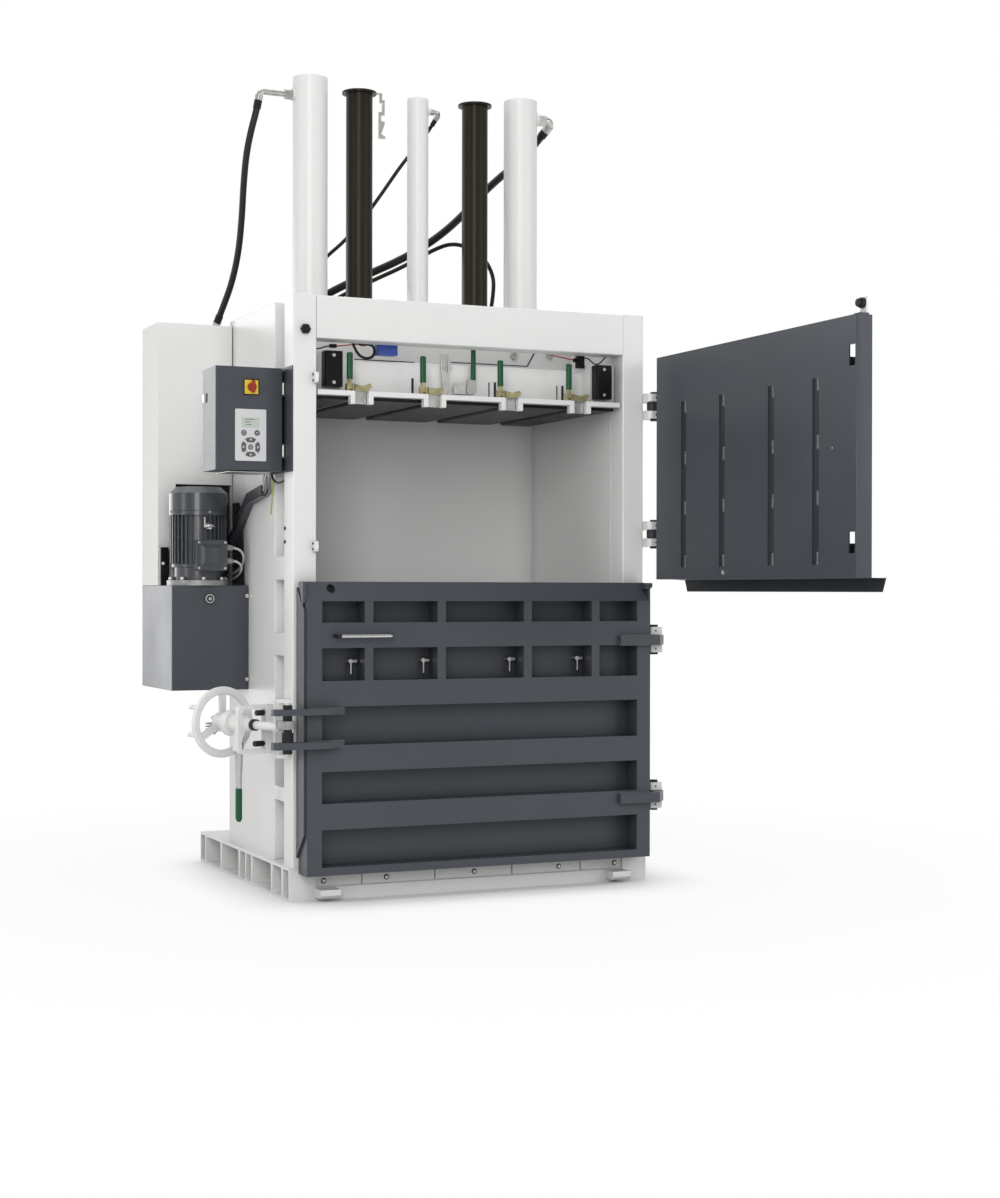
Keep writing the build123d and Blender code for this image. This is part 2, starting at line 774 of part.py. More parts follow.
# Latch bolt with its nuts above and below the ears
nut_height = 15.0
with BuildPart() as latch_bolt:
    low, high = ear_levels[0][0], ear_levels[1][1]
    disc(bolt_x, bolt_y, bolt_radius, (low - nut_height - 10, high + nut_height + 6))
    for start, end in ((low - nut_height, low), (high, high + nut_height), (eye_top + pin_gap, ear_levels[1][0])):
        with BuildSketch(Plane.XY.offset(start)):
            with Locations((bolt_x, bolt_y)):
                RegularPolygon(17, 6)
        extrude(amount=end - start)
    disc(bolt_x, bolt_y, 20, (ear_levels[0][1], eye_bottom - 12))
    disc(bolt_x, bolt_y, 15, (ear_levels[0][1], eye_bottom - pin_gap))
keep(latch_bolt, "latch_bolt")

# Directions of the latch: along the spindle, and level across it
turn = math.radians(spindle_angle)
along = Vector(-math.sin(turn), math.cos(turn), 0)
across = Vector(math.cos(turn), math.sin(turn), 0)
bolt_point = Vector(bolt_x, bolt_y, spindle_level)


def on_spindle(distance, offset=0.0, level=spindle_level):
    """A point of the latch: along the spindle from the bolt, across it, and its height."""
    point = bolt_point + along * distance + across * offset
    return Vector(point.X, point.Y, level)


def spindle_plane(distance):
    """The plane across the spindle at a distance from the bolt."""
    return Plane(origin=on_spindle(distance), x_dir=across, z_dir=along)


# Latch spindle: eye round the bolt, screw, and the bearing housing of the handwheel with its gusset
eye_center = (eye_bottom + eye_top) / 2
with BuildPart() as latch_spindle:
    disc(bolt_x, bolt_y, 26, (eye_bottom, eye_top))
    with BuildSketch(spindle_plane(4)):
        with Locations((0, spindle_level - eye_center)):
            Rectangle(44, eye_top - eye_bottom)
    extrude(amount=34)
    with BuildSketch(spindle_plane(38)):
        Circle(spindle_radius - 4)
    with BuildSketch(spindle_plane(66)):
        Circle(spindle_radius)
    loft()
    with BuildSketch(spindle_plane(66)):
        Circle(spindle_radius)
    extrude(amount=housing_start - 66)
    with BuildSketch(spindle_plane(housing_start)):
        Circle(spindle_radius + 4)
    with BuildSketch(spindle_plane(housing_start + 42)):
        Circle(housing_radius)
    loft()
    with BuildSketch(spindle_plane(housing_start + 42)):
        Circle(housing_radius)
    extrude(amount=housing_end - housing_start - 42)
    with BuildSketch(spindle_plane(housing_end - housing_flange)):
        Circle(housing_flange_radius)
    extrude(amount=housing_flange)
    with BuildSketch(Plane(origin=on_spindle(0, -lever_cheek - 9), x_dir=along, z_dir=across)):
        with BuildLine():
            Polyline(
                (housing_start + 18, spindle_radius - housing_radius),
                (lever_distance + 14, 12 - housing_radius),
                (lever_distance + 14, lever_pivot_level - spindle_level - 26),
                (lever_distance - 16, lever_pivot_level - spindle_level - 26),
                close=True,
            )
        make_face()
    extrude(amount=6)
    with BuildSketch(spindle_plane(housing_end)):
        Circle(15)
    extrude(amount=wheel_distance + 24 - housing_end)
    with BuildSketch(spindle_plane(lever_distance - 18)):
        for shift in (-lever_cheek, lever_cheek):
            with Locations((shift, spindle_level - lever_pivot_level - 4)):
                Rectangle(6, 40)
    extrude(amount=36)
    with BuildSketch(Plane(origin=on_spindle(lever_distance, -lever_cheek, lever_pivot_level), z_dir=across)):
        Circle(lever_pin)
    extrude(amount=2 * lever_cheek)
    disc(bolt_x, bolt_y, bolt_radius + pin_gap, (eye_bottom, eye_top), Mode.SUBTRACT)
keep(latch_spindle, "latch_spindle")

# Black lock ring on the screw and the two stop screws in the post of the yoke
stop_levels = [(542.0, 40.0), (648.0, 32.0)]
with BuildPart() as latch_fittings:
    with BuildSketch(spindle_plane(housing_start - 22)):
        Circle(spindle_radius + 5)
        Circle(spindle_radius + seat_gap, mode=Mode.SUBTRACT)
    extrude(amount=16)
    for level, reach in stop_levels:
        foot = on_spindle(yoke_distance, yoke_bar_offset - yoke_bar / 2, level)
        stub(foot, -across, 8, reach)
        stub(foot - across * 6, -across, 11, reach - 6, 6)
keep(latch_fittings, "latch_fittings")

# Latch yoke: square post beside the spindle with a round-cornered guard loop in front of the housing
with BuildPart() as latch_yoke:
    post_foot = on_spindle(yoke_distance, yoke_bar_offset, yoke_bottom)
    with BuildSketch(Plane(origin=post_foot, x_dir=across, z_dir=(0, 0, 1))):
        Rectangle(yoke_bar, yoke_bar)
    extrude(amount=yoke_top - yoke_bottom)
    with BuildLine():
        FilletPolyline(
            on_spindle(yoke_distance, yoke_bar_offset, yoke_top - yoke_rod),
            on_spindle(yoke_distance, yoke_loop_offset, yoke_top - yoke_rod),
            on_spindle(yoke_distance, yoke_loop_offset, yoke_bottom + yoke_rod),
            on_spindle(yoke_distance, yoke_bar_offset, yoke_bottom + yoke_rod),
            radius=2 * yoke_rod,
        )
    loop_start = on_spindle(yoke_distance, yoke_bar_offset, yoke_top - yoke_rod)
    with BuildSketch(Plane(origin=loop_start, z_dir=across)):
        Rectangle(2 * yoke_rod, 2 * yoke_rod)
    sweep()
    with BuildSketch(Plane(origin=on_spindle(0, 0, spindle_level - yoke_rod), x_dir=across, z_dir=(0, 0, 1))):
        with BuildLine():
            Polyline(
                (yoke_bar_offset - yoke_bar / 2, yoke_distance),
                (yoke_bar_offset + yoke_bar / 2, yoke_distance),
                (yoke_bar_offset + yoke_bar / 2, housing_end - 40),
                (housing_radius + seat_gap, housing_end - 40),
                (housing_radius + seat_gap, housing_start + 60),
                close=True,
            )
        make_face()
    extrude(amount=2 * yoke_rod)
keep(latch_yoke, "latch_yoke")

# Handwheel: rim with two grips behind it, three spokes and hub, with a bore for the screw
spoke_width = 24.0
hub_radius = 34.0
grip_ring = wheel_radius - rim_width / 2
grip_angles = [151.0, 202.0]
with BuildPart() as handwheel:
    with BuildSketch(spindle_plane(wheel_distance - 9)):
        Circle(wheel_radius)
        Circle(wheel_radius - rim_width, mode=Mode.SUBTRACT)
    extrude(amount=18)
    fillet(handwheel.edges(), 7)
    with BuildSketch(spindle_plane(wheel_distance - 6)):
        with PolarLocations((wheel_radius - rim_width / 2) / 2, 3, start_angle=30):
            Rectangle(wheel_radius - rim_width / 2, spoke_width)
    extrude(amount=12)
    with BuildSketch(spindle_plane(wheel_distance)):
        for angle in grip_angles:
            turned = math.radians(angle)
            with Locations((grip_ring * math.cos(turned), -grip_ring * math.sin(turned))):
                Circle(8)
    extrude(amount=52)
    with BuildSketch(spindle_plane(housing_end + 0.5)):
        Circle(hub_radius)
    extrude(amount=wheel_distance + 14 - housing_end)
    with BuildSketch(spindle_plane(housing_end)):
        Circle(15 + pin_gap)
    extrude(amount=wheel_distance + 30 - housing_end, mode=Mode.SUBTRACT)
keep(handwheel, "handwheel")

# Latch lever hanging under the housing, with its grip
lever_plane = Plane(origin=on_spindle(lever_distance, -4, lever_pivot_level), x_dir=along, z_dir=across)
lever_drop = lever_pivot_level - latch_lever_end
lever_neck = 12.0
with BuildPart() as latch_lever:
    with BuildSketch(lever_plane):
        with BuildLine():
            Polyline(
                (-lever_neck - 4, 0),
                (lever_neck + 4, 0),
                (lever_neck, -lever_drop + latch_grip_length),
                (-lever_neck, -lever_drop + latch_grip_length),
                close=True,
            )
        make_face()
        Circle(lever_neck)
        Circle(lever_pin + pin_gap, mode=Mode.SUBTRACT)
    extrude(amount=8)
    grip_top = lever_pivot_level - lever_drop + latch_grip_length
    with BuildSketch(Plane(origin=on_spindle(lever_distance, 0, grip_top), x_dir=along, z_dir=(0, 0, -1))):
        Ellipse(15, 10)
    extrude(amount=latch_grip_length)
    fillet(latch_lever.edges().group_by(Axis.Z)[0], 6)
keep(latch_lever, "latch_lever")

# Keeper of the latch on the left column: two arms, each with a tooth in front of the post
keeper_arm = 14.0
tooth = 28.0
tooth_back = -498.0
with BuildPart() as latch_keeper:
    keeper_edge = -column_outer - keeper_reach
    for inner, sense in ((yoke_top + keeper_gap, 1), (yoke_bottom - keeper_gap, -1)):
        arm = [
            (-column_outer, base_front + 8),
            (keeper_edge, tooth_back - keeper_arm),
            (keeper_edge, tooth_back + 36),
            (-column_outer, tooth_back + 36),
        ]
        plate(arm, sorted((inner, inner + sense * keeper_arm)))
        span = sorted((inner, inner - sense * tooth))
        block((keeper_edge, keeper_edge + 20), (tooth_back - keeper_arm, tooth_back), span)
keep(latch_keeper, "latch_keeper")

# Loading flap: pan of sheet with its edges folded outwards, stiffeners and skirt
flap_outer = flap_inner + flap_thick
flap_length = flap_hinge_edge - flap_free_edge
with BuildPart() as flap_panel:
    block((flap_inner, flap_outer), (flap_free_edge, flap_hinge_edge), (flap_bottom, flap_top))
    block(
        (flap_inner + flap_sheet, flap_outer),
        (flap_free_edge + flap_sheet, flap_hinge_edge - flap_sheet),
        (flap_bottom + flap_sheet, flap_top - flap_sheet),
        Mode.SUBTRACT,
    )
    for place, top in zip(flap_rib_places, flap_rib_top):
        y = flap_hinge_edge - place * flap_length
        span = (y - flap_rib_width / 2, y + flap_rib_width / 2)
        levels = (flap_bottom + flap_rib_bottom, flap_bottom + top)
        block((flap_inner + flap_sheet, flap_outer - 12), span, levels)
        seam = (y - seam_width / 2, y + seam_width / 2)
        block((flap_inner, flap_inner + seam_depth), seam, levels, Mode.SUBTRACT)
    with BuildSketch(Plane.XZ.offset(-flap_free_edge)):
        with BuildLine():
            Polyline(
                (flap_outer - skirt_thick, flap_bottom),
                (flap_outer + skirt_reach, flap_bottom - skirt_drop),
                (flap_outer + skirt_reach + skirt_thick, flap_bottom - skirt_drop + 3),
                (flap_outer + 1, flap_bottom),
                close=True,
            )
        make_face()
    extrude(amount=-flap_length + 20)
    slot_span = (flap_free_edge + flap_sheet + 2, flap_free_edge + flap_sheet + 36)
    for level in catch_levels:
        block((flap_inner, flap_inner + flap_sheet), slot_span, (level - slot_height / 2, level + slot_height / 2), Mode.SUBTRACT)
    bracket = (flap_inner + 12, flap_outer - 12)
    block(bracket, (flap_free_edge, flap_free_edge + buffer_plate), (flap_top - 4, flap_top + 56))
    block(bracket, (flap_free_edge, flap_free_edge + 34), (flap_top, flap_top + flap_sheet))
keep(flap_panel, "flap_panel")

# Spring latches inside the flap, behind the lower half of each catch slot
latch_nose = flap_inner + 28
latch_base = 38.0
with BuildPart() as flap_latches:
    for level in catch_levels:
        base = (slot_span[1] + 12, slot_span[1] + 12 + latch_base)
        span = (level - slot_height / 2 - 8, level - 2)
        block((flap_inner + flap_sheet, latch_nose), base, span)
        block((latch_nose, flap_outer - 8), (slot_span[0] + 8, base[1]), span)
keep(flap_latches, "flap_latches")

# Hinge arms of the flap, laid on its outer face
flap_arm_lap = 127.0
with BuildPart() as flap_arms:
    for low, high in flap_arm_levels:
        arm = [
            (flap_outer, flap_hinge_edge - flap_arm_lap),
            (flap_outer + arm_thick, flap_hinge_edge - flap_arm_lap),
            (flap_outer + arm_thick, pin_y - 21),
            (pin_x + 32, pin_y + arm_reach),
            (pin_x - 18, pin_y + arm_reach),
            (pin_x - 18, pin_y - 21),
            (flap_outer - 8, pin_y - 21),
            (flap_outer, flap_hinge_edge),
        ]
        plate(arm, (low, high))
        disc(pin_x, pin_y, pin_radius + pin_gap, (low, high), Mode.SUBTRACT)
keep(flap_arms, "flap_arms")

# Rubber stop buffer at the free top corner of the flap
with BuildPart() as flap_buffer:
    with BuildSketch(Plane.XZ.offset(-(flap_free_edge + buffer_plate))):
        with Locations(((flap_inner + flap_outer) / 2, flap_top + buffer_level)):
            Circle(buffer_radius)
    extrude(amount=-26)
    with BuildSketch(Plane.XZ.offset(-(flap_free_edge + buffer_plate + 26))):
        with Locations(((flap_inner + flap_outer) / 2, flap_top + buffer_level)):
            Circle(buffer_radius - 6)
    extrude(amount=-12)
keep(flap_buffer, "flap_buffer")

# Catches on the left column for the closed flap
catch_x = -600.0
with BuildPart() as flap_catches:
    for level in catch_levels:
        block((catch_x - 10, catch_x + 4), (base_front - 26, base_front), (level - catch_height / 2, level + catch_height / 2))
    fillet(flap_catches.edges().filter_by(Axis.X).group_by(Axis.Y)[0], 9)
keep(flap_catches, "flap_catches")

# Control cabinet: mounting plate with the back tray, and the deep hinged cover
cabinet_right = -column_outer - cabinet_plate
tray_front = cabinet_front + cover_depth + cover_gap
cabinet_hinge_x = cabinet_right - cabinet_hinge_inset
cabinet_hinge_y = cabinet_front + cabinet_knuckle
hinge_side = cabinet_hinge_x - 4
knuckle_half = 20.0
knuckle_levels = (cabinet_bottom + 70, cabinet_top - 70)
with BuildPart() as cabinet_tray:
    plate_span = (base_front, cabinet_back)
    block((cabinet_right, -column_outer), plate_span, (cabinet_bottom - 4, cabinet_top + 4))
    block((cabinet_left, cabinet_right), (tray_front, cabinet_back), (cabinet_bottom, cabinet_top))
    inner = (cabinet_left + cabinet_sheet, cabinet_right - cabinet_sheet)
    heights = (cabinet_bottom + cabinet_sheet, cabinet_top - cabinet_sheet)
    block(inner, (tray_front, cabinet_back - cabinet_sheet), heights, Mode.SUBTRACT)
    for level in knuckle_levels:
        disc(cabinet_hinge_x, cabinet_hinge_y, cabinet_pin, (level - knuckle_half - 6, level + knuckle_half + 6))
        for end in (level - knuckle_half - 6, level + knuckle_half + 1):
            tab = (cabinet_hinge_y - cabinet_pin, cabinet_hinge_y + cabinet_pin)
            block((cabinet_hinge_x, cabinet_right), tab, (end, end + 5))
keep(cabinet_tray, "cabinet_tray")

with BuildPart() as cabinet_cover:
    block((cabinet_left, hinge_side), (cabinet_front, cabinet_front + cover_depth), (cabinet_bottom, cabinet_top))
    fillet(cabinet_cover.edges().filter_by(Axis.Z).group_by(Axis.Y)[0], 3)
    inner = (cabinet_left + cabinet_sheet, hinge_side - cabinet_sheet)
    depth = (cabinet_front + cabinet_sheet, cabinet_front + cover_depth)
    block(inner, depth, heights, Mode.SUBTRACT)
    for level in knuckle_levels:
        barrel = (level - knuckle_half, level + knuckle_half)
        disc(cabinet_hinge_x, cabinet_hinge_y, cabinet_knuckle, barrel)
        disc(cabinet_hinge_x, cabinet_hinge_y, cabinet_pin + pin_gap, barrel, Mode.SUBTRACT)
keep(cabinet_cover, "cabinet_cover")

# Keypad foil, switch plate and the turning knob of the main switch
keypad_span = (-864, -753)
keypad_levels = (1514, 1692)
foil = 3.0
switch_x = -806.0
switch_level = 1768.0
switch_size = 48.0
with BuildPart() as keypad:
    block(keypad_span, (cabinet_front - foil, cabinet_front), keypad_levels)
    fillet(keypad.edges().filter_by(Axis.Y), 4)
    switch = (switch_x - switch_size / 2, switch_x + switch_size / 2)
    levels = (switch_level - switch_size / 2, switch_level + switch_size / 2)
    block(switch, (cabinet_front - foil, cabinet_front), levels)
keep(keypad, "keypad")
with BuildPart() as switch_knob:
    with BuildSketch(Plane.XZ.offset(-(cabinet_front - foil - 0.3))):
        with Locations((switch_x, switch_level)):
            Circle(15)
    extrude(amount=12)
    with BuildSketch(Plane.XZ.offset(-(cabinet_front - foil - 12.3))):
        with Locations((switch_x, switch_level)):
            SlotOverall(42, 11, rotation=90)
    extrude(amount=16)
keep(switch_knob, "switch_knob")

# Oil tank with its mounting flange against the side wall
tank_right = -wall_outer - 26
with BuildPart() as power_tank:
    block((tank_left, tank_right), (tank_front, tank_back), (tank_bottom, tank_top))
    fillet(power_tank.edges().filter_by(Axis.Z), 4)
    inner = (tank_left + tank_sheet, tank_right - tank_sheet)
    depth = (tank_front + tank_sheet, tank_back - tank_sheet)
    block(inner, depth, (tank_bottom + tank_sheet, tank_top - tank_sheet), Mode.SUBTRACT)
    block((tank_right - 2 * tank_sheet, -wall_outer), (tank_front, tank_front + tank_sheet), (tank_bottom, tank_top))
    block((-wall_outer - tank_sheet, -wall_outer), (tank_front, wall_back), (tank_bottom, tank_top))
keep(power_tank, "power_tank")

# Filler cap and flange bolts of the tank
with BuildPart() as tank_fittings:
    with BuildSketch(Plane.XZ.offset(-tank_front)):
        with Locations((motor_x + 14, tank_top - 48)):
            Circle(17)
        with Locations((-wall_outer - 9, tank_top - 38), (-wall_outer - 9, tank_bottom + 38)):
            Circle(7)
    extrude(amount=10)
keep(tank_fittings, "tank_fittings")

# Electric motor standing on the tank: flange, neck and finned body
motor_foot = tank_top + motor_flange
core_radius = motor_radius - fin_depth
with BuildPart() as motor_housing:
    disc(motor_x, motor_y, motor_flange_radius, (tank_top, motor_foot))
    disc(motor_x, motor_y, core_radius, (motor_foot, fin_top))
    disc(motor_x, motor_y, motor_radius - 4, (motor_foot + motor_neck - 12, motor_foot + motor_neck))
    with BuildSketch(Plane.XY.offset(motor_foot + motor_neck)):
        with Locations((motor_x, motor_y)):
            with PolarLocations(motor_radius - fin_depth / 2 - 2, fin_count):
                Rectangle(fin_depth + 4, fin_thick)
    extrude(amount=fin_top - motor_foot - motor_neck)
    disc(motor_x, motor_y, shaft_radius + shaft_gap, (tank_top, fin_top), Mode.SUBTRACT)
keep(motor_housing, "motor_housing")

# Rotor shaft with its cooling fan under the cowl
with BuildPart() as motor_rotor:
    disc(motor_x, motor_y, shaft_radius, (tank_top + shaft_gap, fin_top + 60))
    disc(motor_x, motor_y, 34, (fin_top + 12, fin_top + 54))
    with BuildSketch(Plane.XY.offset(fin_top + 12)):
        with Locations((motor_x, motor_y)):
            with PolarLocations(56, 7):
                Rectangle(56, 5)
    extrude(amount=38)
keep(motor_rotor, "motor_rotor")

# Fan cowl: thin shell with a stepped, slotted top
cowl_radius = motor_radius + 5
cowl_sheet = 3.0
cowl_height = cowl_top - fin_top
with BuildPart() as motor_cowl:
    with BuildSketch(Plane.XZ.offset(-motor_y)):
        with BuildLine():
            Polyline(
                (motor_x, cowl_top),
                (motor_x + cowl_radius - 26, cowl_top),
                (motor_x + cowl_radius, cowl_top - 24),
                (motor_x + cowl_radius, fin_top),
                (motor_x + cowl_radius - cowl_sheet, fin_top),
                (motor_x + cowl_radius - cowl_sheet, cowl_top - 25),
                (motor_x + cowl_radius - 27, cowl_top - cowl_sheet),
                (motor_x, cowl_top - cowl_sheet),
                close=True,
            )
        make_face()
    revolve(axis=Axis((motor_x, motor_y, 0), (0, 0, 1)))
    with BuildSketch(Plane.XY.offset(cowl_top - cowl_sheet)):
        with Locations((motor_x, motor_y)):
            with PolarLocations(48, 12):
                SlotOverall(44, 7)
    extrude(amount=cowl_sheet, mode=Mode.SUBTRACT)
    disc(motor_x, motor_y, cowl_radius - 1, (fin_top, fin_top + 3))
    disc(motor_x, motor_y, 44, (fin_top, fin_top + 3), Mode.SUBTRACT)
keep(motor_cowl, "motor_cowl")

# Terminal box on the motor, with two cable glands
box_span = (-876, -760)
box_levels = (1141, 1253)
box_front = motor_y - motor_radius - 34
with BuildPart() as terminal_box:
    block(box_span, (box_front, motor_y - motor_radius - seat_gap), box_levels)
    fillet(terminal_box.edges().filter_by(Axis.Y), 10)
    with BuildSketch(Plane.YZ.offset(box_span[1])):
        with Locations((box_front + 17, box_levels[0] + 84), (box_front + 17, box_levels[0] + 36)):
            Circle(11)
    extrude(amount=16)
keep(terminal_box, "terminal_box")

# Valve block beside the motor
with BuildPart() as valve_block:
    block((tank_left + 2, tank_left + 34), (cover_front - 34, cover_front), (tank_top, tank_top + 142))
    chamfer(valve_block.edges().filter_by(Axis.Z), 3)
keep(valve_block, "valve_block")

# Tall sheet cover over the pipes, open at the foot behind the motor
cover_sheet = 3.0
with BuildPart() as power_cover:
    cover_x = (tank_left, -wall_outer - tank_sheet)
    block(cover_x, (cover_front, tank_back), (tank_top, cover_top))
    inner = (cover_x[0] + cover_sheet, cover_x[1] - cover_sheet)
    block(inner, (cover_front + cover_sheet, tank_back - cover_sheet), (tank_top, cover_top - cover_sheet), Mode.SUBTRACT)
    mouth = (cover_x[0] + 68, cover_x[1])
    block(mouth, (cover_front, cover_front + cover_sheet), (tank_top, cowl_top + 16), Mode.SUBTRACT)
keep(power_cover, "power_cover")


# Cable duct on the left side wall, from under the cabinet into the mouth of the tall cover
duct_deep = 30.0
duct_tall = 40.0
duct_run = [(-236.0, 1426.0), (-60.0, 1404.0), (60.0, 1320.0), (150.0, 1262.0), (cover_front - 1, 1240.0)]
with BuildPart() as cable_duct:
    for start, end in zip(duct_run, duct_run[1:]):
        with BuildSketch(Plane.YZ.offset(-wall_outer)) as side_view:
            with BuildLine():
                Polyline(
                    (start[0], start[1] - duct_tall / 2),
                    (end[0], end[1] - duct_tall / 2),
                    (end[0], end[1] + duct_tall / 2),
                    (start[0], start[1] + duct_tall / 2),
                    close=True,
                )
            make_face()
        extrude(side_view.sketch, amount=-duct_deep)
keep(cable_duct, "cable_duct")


def along_route(points):
    """The route of a hose: straight runs joined by arcs as large as the runs allow."""
    spots = [Vector(*point) for point in points]
    radii = []
    for before, corner, after in zip(spots, spots[1:], spots[2:]):
        run = min((corner - before).length, (after - corner).length)
        bend = math.radians((corner - before).get_angle(after - corner))
        radii.append(0.45 * run / math.tan(bend / 2))
    return spots, radii


def hose(points, radius, name):
    """A hose of round section along its route, with its radii printed."""
    spots, radii = along_route(points)
    with BuildPart() as tube:
        with BuildLine():
            FilletPolyline(*spots, radius=radii)
        with BuildSketch(Plane(origin=spots[0], z_dir=spots[1] - spots[0])):
            Circle(radius)
        sweep()
    keep(tube, name)
    length = tube.part.volume / (math.pi * radius**2)
    print(name, "length", round(length), "least radius", round(min(radii)), "diameter", 2 * radius)


# Hoses from the cylinders: to the power unit, and through the left wall inside the frame
hose_left_route = [
    (-634, 0, 2878),
    (-642, 0, 2836),
    (-655, 20, 2772),
    (-663, 55, 2690),
    (-660, 100, 2585),
    (-652, 148, 2470),
    (-650, 196, 2350),
    (-660, 250, 2240),
    (-680, 298, 2155),
    (-697, 325, 2095),
]
hose_right_route = [
    (560, 39, 2890),
    (546, 78, 2860),
    (520, 112, 2820),
    (480, 136, 2771),
    (418, 142, 2722),
    (330, 146, 2640),
    (222, 150, 2520),
    (104, 155, 2425),
    (-20, 160, 2352),
    (-150, 165, 2290),
    (-280, 171, 2224),
    (-400, 178, 2150),
    (-490, 182, 2082),
    (-560, 184, 2040),
]
hose_center_route = [
    (84, 24, 2886),
    (76, 54, 2861),
    (48, 82, 2811),
    (-28, 99, 2716),
    (-95, 116, 2612),
    (-168, 134, 2505),
    (-240, 148, 2415),
    (-320, 150, 2345),
    (-390, 146, 2268),
    (-448, 140, 2180),
    (-502, 136, 2095),
    (-560, 134, 2030),
]
hose_loop_route = [
    (353, 128, 2105),
    (362, 132, 2165),
    (379, 140, 2245),
    (384, 146, 2315),
    (350, 150, 2384),
    (285, 149, 2424),
    (205, 145, 2438),
    (120, 132, 2404),
    (-2, 134, 2330),
    (-130, 139, 2268),
    (-262, 144, 2199),
    (-372, 152, 2126),
    (-470, 157, 2042),
    (-560, 160, 1965),
]
hose(hose_left_route, 12.5, "hose_left")
hose(hose_right_route, 15.0, "hose_right")
hose(hose_center_route, 7.0, "hose_center")
hose(hose_loop_route, 8.0, "hose_loop")


def bulkhead(route, radius, wall_x):
    """The fitting at the foot of a hose: a ferrule into a round plate on the inner wall."""
    end = Vector(*route[-1])
    run = (end - Vector(*route[-2])).normalized()
    reach = (wall_x + 12 - end.X) / run.X
    stub(end, run, radius, reach)
    foot = end + run * reach
    stub(Vector(wall_x, foot.Y, foot.Z), (1, 0, 0), radius + 3, 14)


# Fittings of the hoses: nuts and elbows at the cylinder ports, and their seats at the other ends
port_pieces = [
    (hose_left_route, left_cylinder, left_port, 12.0),
    (hose_right_route, right_cylinder, right_port, 15.0),
    (hose_center_route, middle_cylinder, middle_port, 8.0),
]
with BuildPart() as hose_fittings:
    for route, press_cylinder, port, pipe in port_pieces:
        side, level, port_radius = port
        face = Vector(press_cylinder[0] + side * (press_cylinder[1] + port_boss), 0, level)
        first, second = Vector(*route[0]), Vector(*route[1])
        rise = (first - second) * ((level - first.Z) / (first.Z - second.Z))
        with BuildLine():
            FilletPolyline(first, first + rise, face, radius=1.6 * pipe)
        with BuildSketch(Plane(origin=first, z_dir=rise)):
            Circle(pipe)
        sweep()
        stub(first, rise, pipe + 3, 0.55 * rise.length)
        stub(face, (side, 0, 0), port_radius - 2, 1.3 * port_radius, 6)
    bulkhead(hose_right_route, 19, -chamber_half)
    bulkhead(hose_center_route, 11, -chamber_half)
    bulkhead(hose_loop_route, 12, -chamber_half)
    end, before = Vector(*hose_left_route[-1]), Vector(*hose_left_route[-2])
    drop = (end - before) * ((end.Z - cover_top - 9) / (before.Z - end.Z))
    stub(end, drop, 16, drop.length)
    seat = end + drop
    stub(Vector(seat.X, seat.Y, cover_top), (0, 0, 1), 24, 10)
    start = Vector(*hose_loop_route[0])
    block((start.X - 24, start.X + 20), (head_half_depth, head_half_depth + 40), (head_top - 60, head_top - 2))
    descent = (start - Vector(*hose_loop_route[1])) * 0.8
    stub(start, descent, 11, descent.length)
keep(hose_fittings, "hose_fittings")
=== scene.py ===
import json
import math

import bmesh
import bpy
from mathutils import Matrix, Vector

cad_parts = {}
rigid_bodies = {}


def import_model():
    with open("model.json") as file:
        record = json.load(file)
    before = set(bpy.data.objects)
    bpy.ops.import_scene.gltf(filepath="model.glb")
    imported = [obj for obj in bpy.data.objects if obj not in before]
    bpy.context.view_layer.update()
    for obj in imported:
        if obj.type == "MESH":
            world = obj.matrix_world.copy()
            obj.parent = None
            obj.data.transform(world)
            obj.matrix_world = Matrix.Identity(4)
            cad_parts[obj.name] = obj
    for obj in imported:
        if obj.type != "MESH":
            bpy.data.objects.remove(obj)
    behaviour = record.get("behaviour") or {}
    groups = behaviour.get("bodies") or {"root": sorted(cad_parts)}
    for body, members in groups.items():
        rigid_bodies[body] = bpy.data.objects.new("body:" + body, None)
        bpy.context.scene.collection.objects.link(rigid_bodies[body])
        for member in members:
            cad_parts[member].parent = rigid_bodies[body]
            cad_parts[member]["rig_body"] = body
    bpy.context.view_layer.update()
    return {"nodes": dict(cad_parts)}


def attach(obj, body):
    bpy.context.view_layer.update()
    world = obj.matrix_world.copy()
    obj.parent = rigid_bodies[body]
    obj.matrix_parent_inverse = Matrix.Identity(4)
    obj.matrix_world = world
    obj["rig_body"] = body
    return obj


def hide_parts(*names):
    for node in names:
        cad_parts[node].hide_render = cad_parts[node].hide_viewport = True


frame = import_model()
nodes = frame["nodes"]
print("frame loaded:", len(nodes), "nodes")


# object tools
def linked(obj):
    bpy.context.scene.collection.objects.link(obj)
    return obj


def evaluatedMesh(obj):
    bpy.context.view_layer.update()
    return bpy.data.meshes.new_from_object(obj.evaluated_get(bpy.context.evaluated_depsgraph_get()))


# camera: where the photograph was taken from
cameraSettings = {
    "place": (-2.7828, -6.9806, 1.0707),
    "yaw": -24.155,     # degrees about Z, to the right of +Y
    "pitch": -0.25,     # degrees, down
    "roll": 0.095,      # degrees
    "lens": 58.92,      # mm, with the sensor's long side upright
    "sensor": 36.0,     # mm
}


def makeCamera(s):
    data = bpy.data.cameras.new("photoCamera")
    data.lens, data.sensor_width = s["lens"], s["sensor"]
    camera = linked(bpy.data.objects.new("photoCamera", data))
    yaw, tilt, roll = (Matrix.Rotation(math.radians(angle), 4, axis) for angle, axis in
                       ((s["yaw"], "Z"), (90.0 + s["pitch"], "X"), (s["roll"], "Z")))
    camera.matrix_world = Matrix.Translation(s["place"]) @ yaw @ tilt @ roll
    bpy.context.scene.camera = camera


makeCamera(cameraSettings)
print("camera placed")


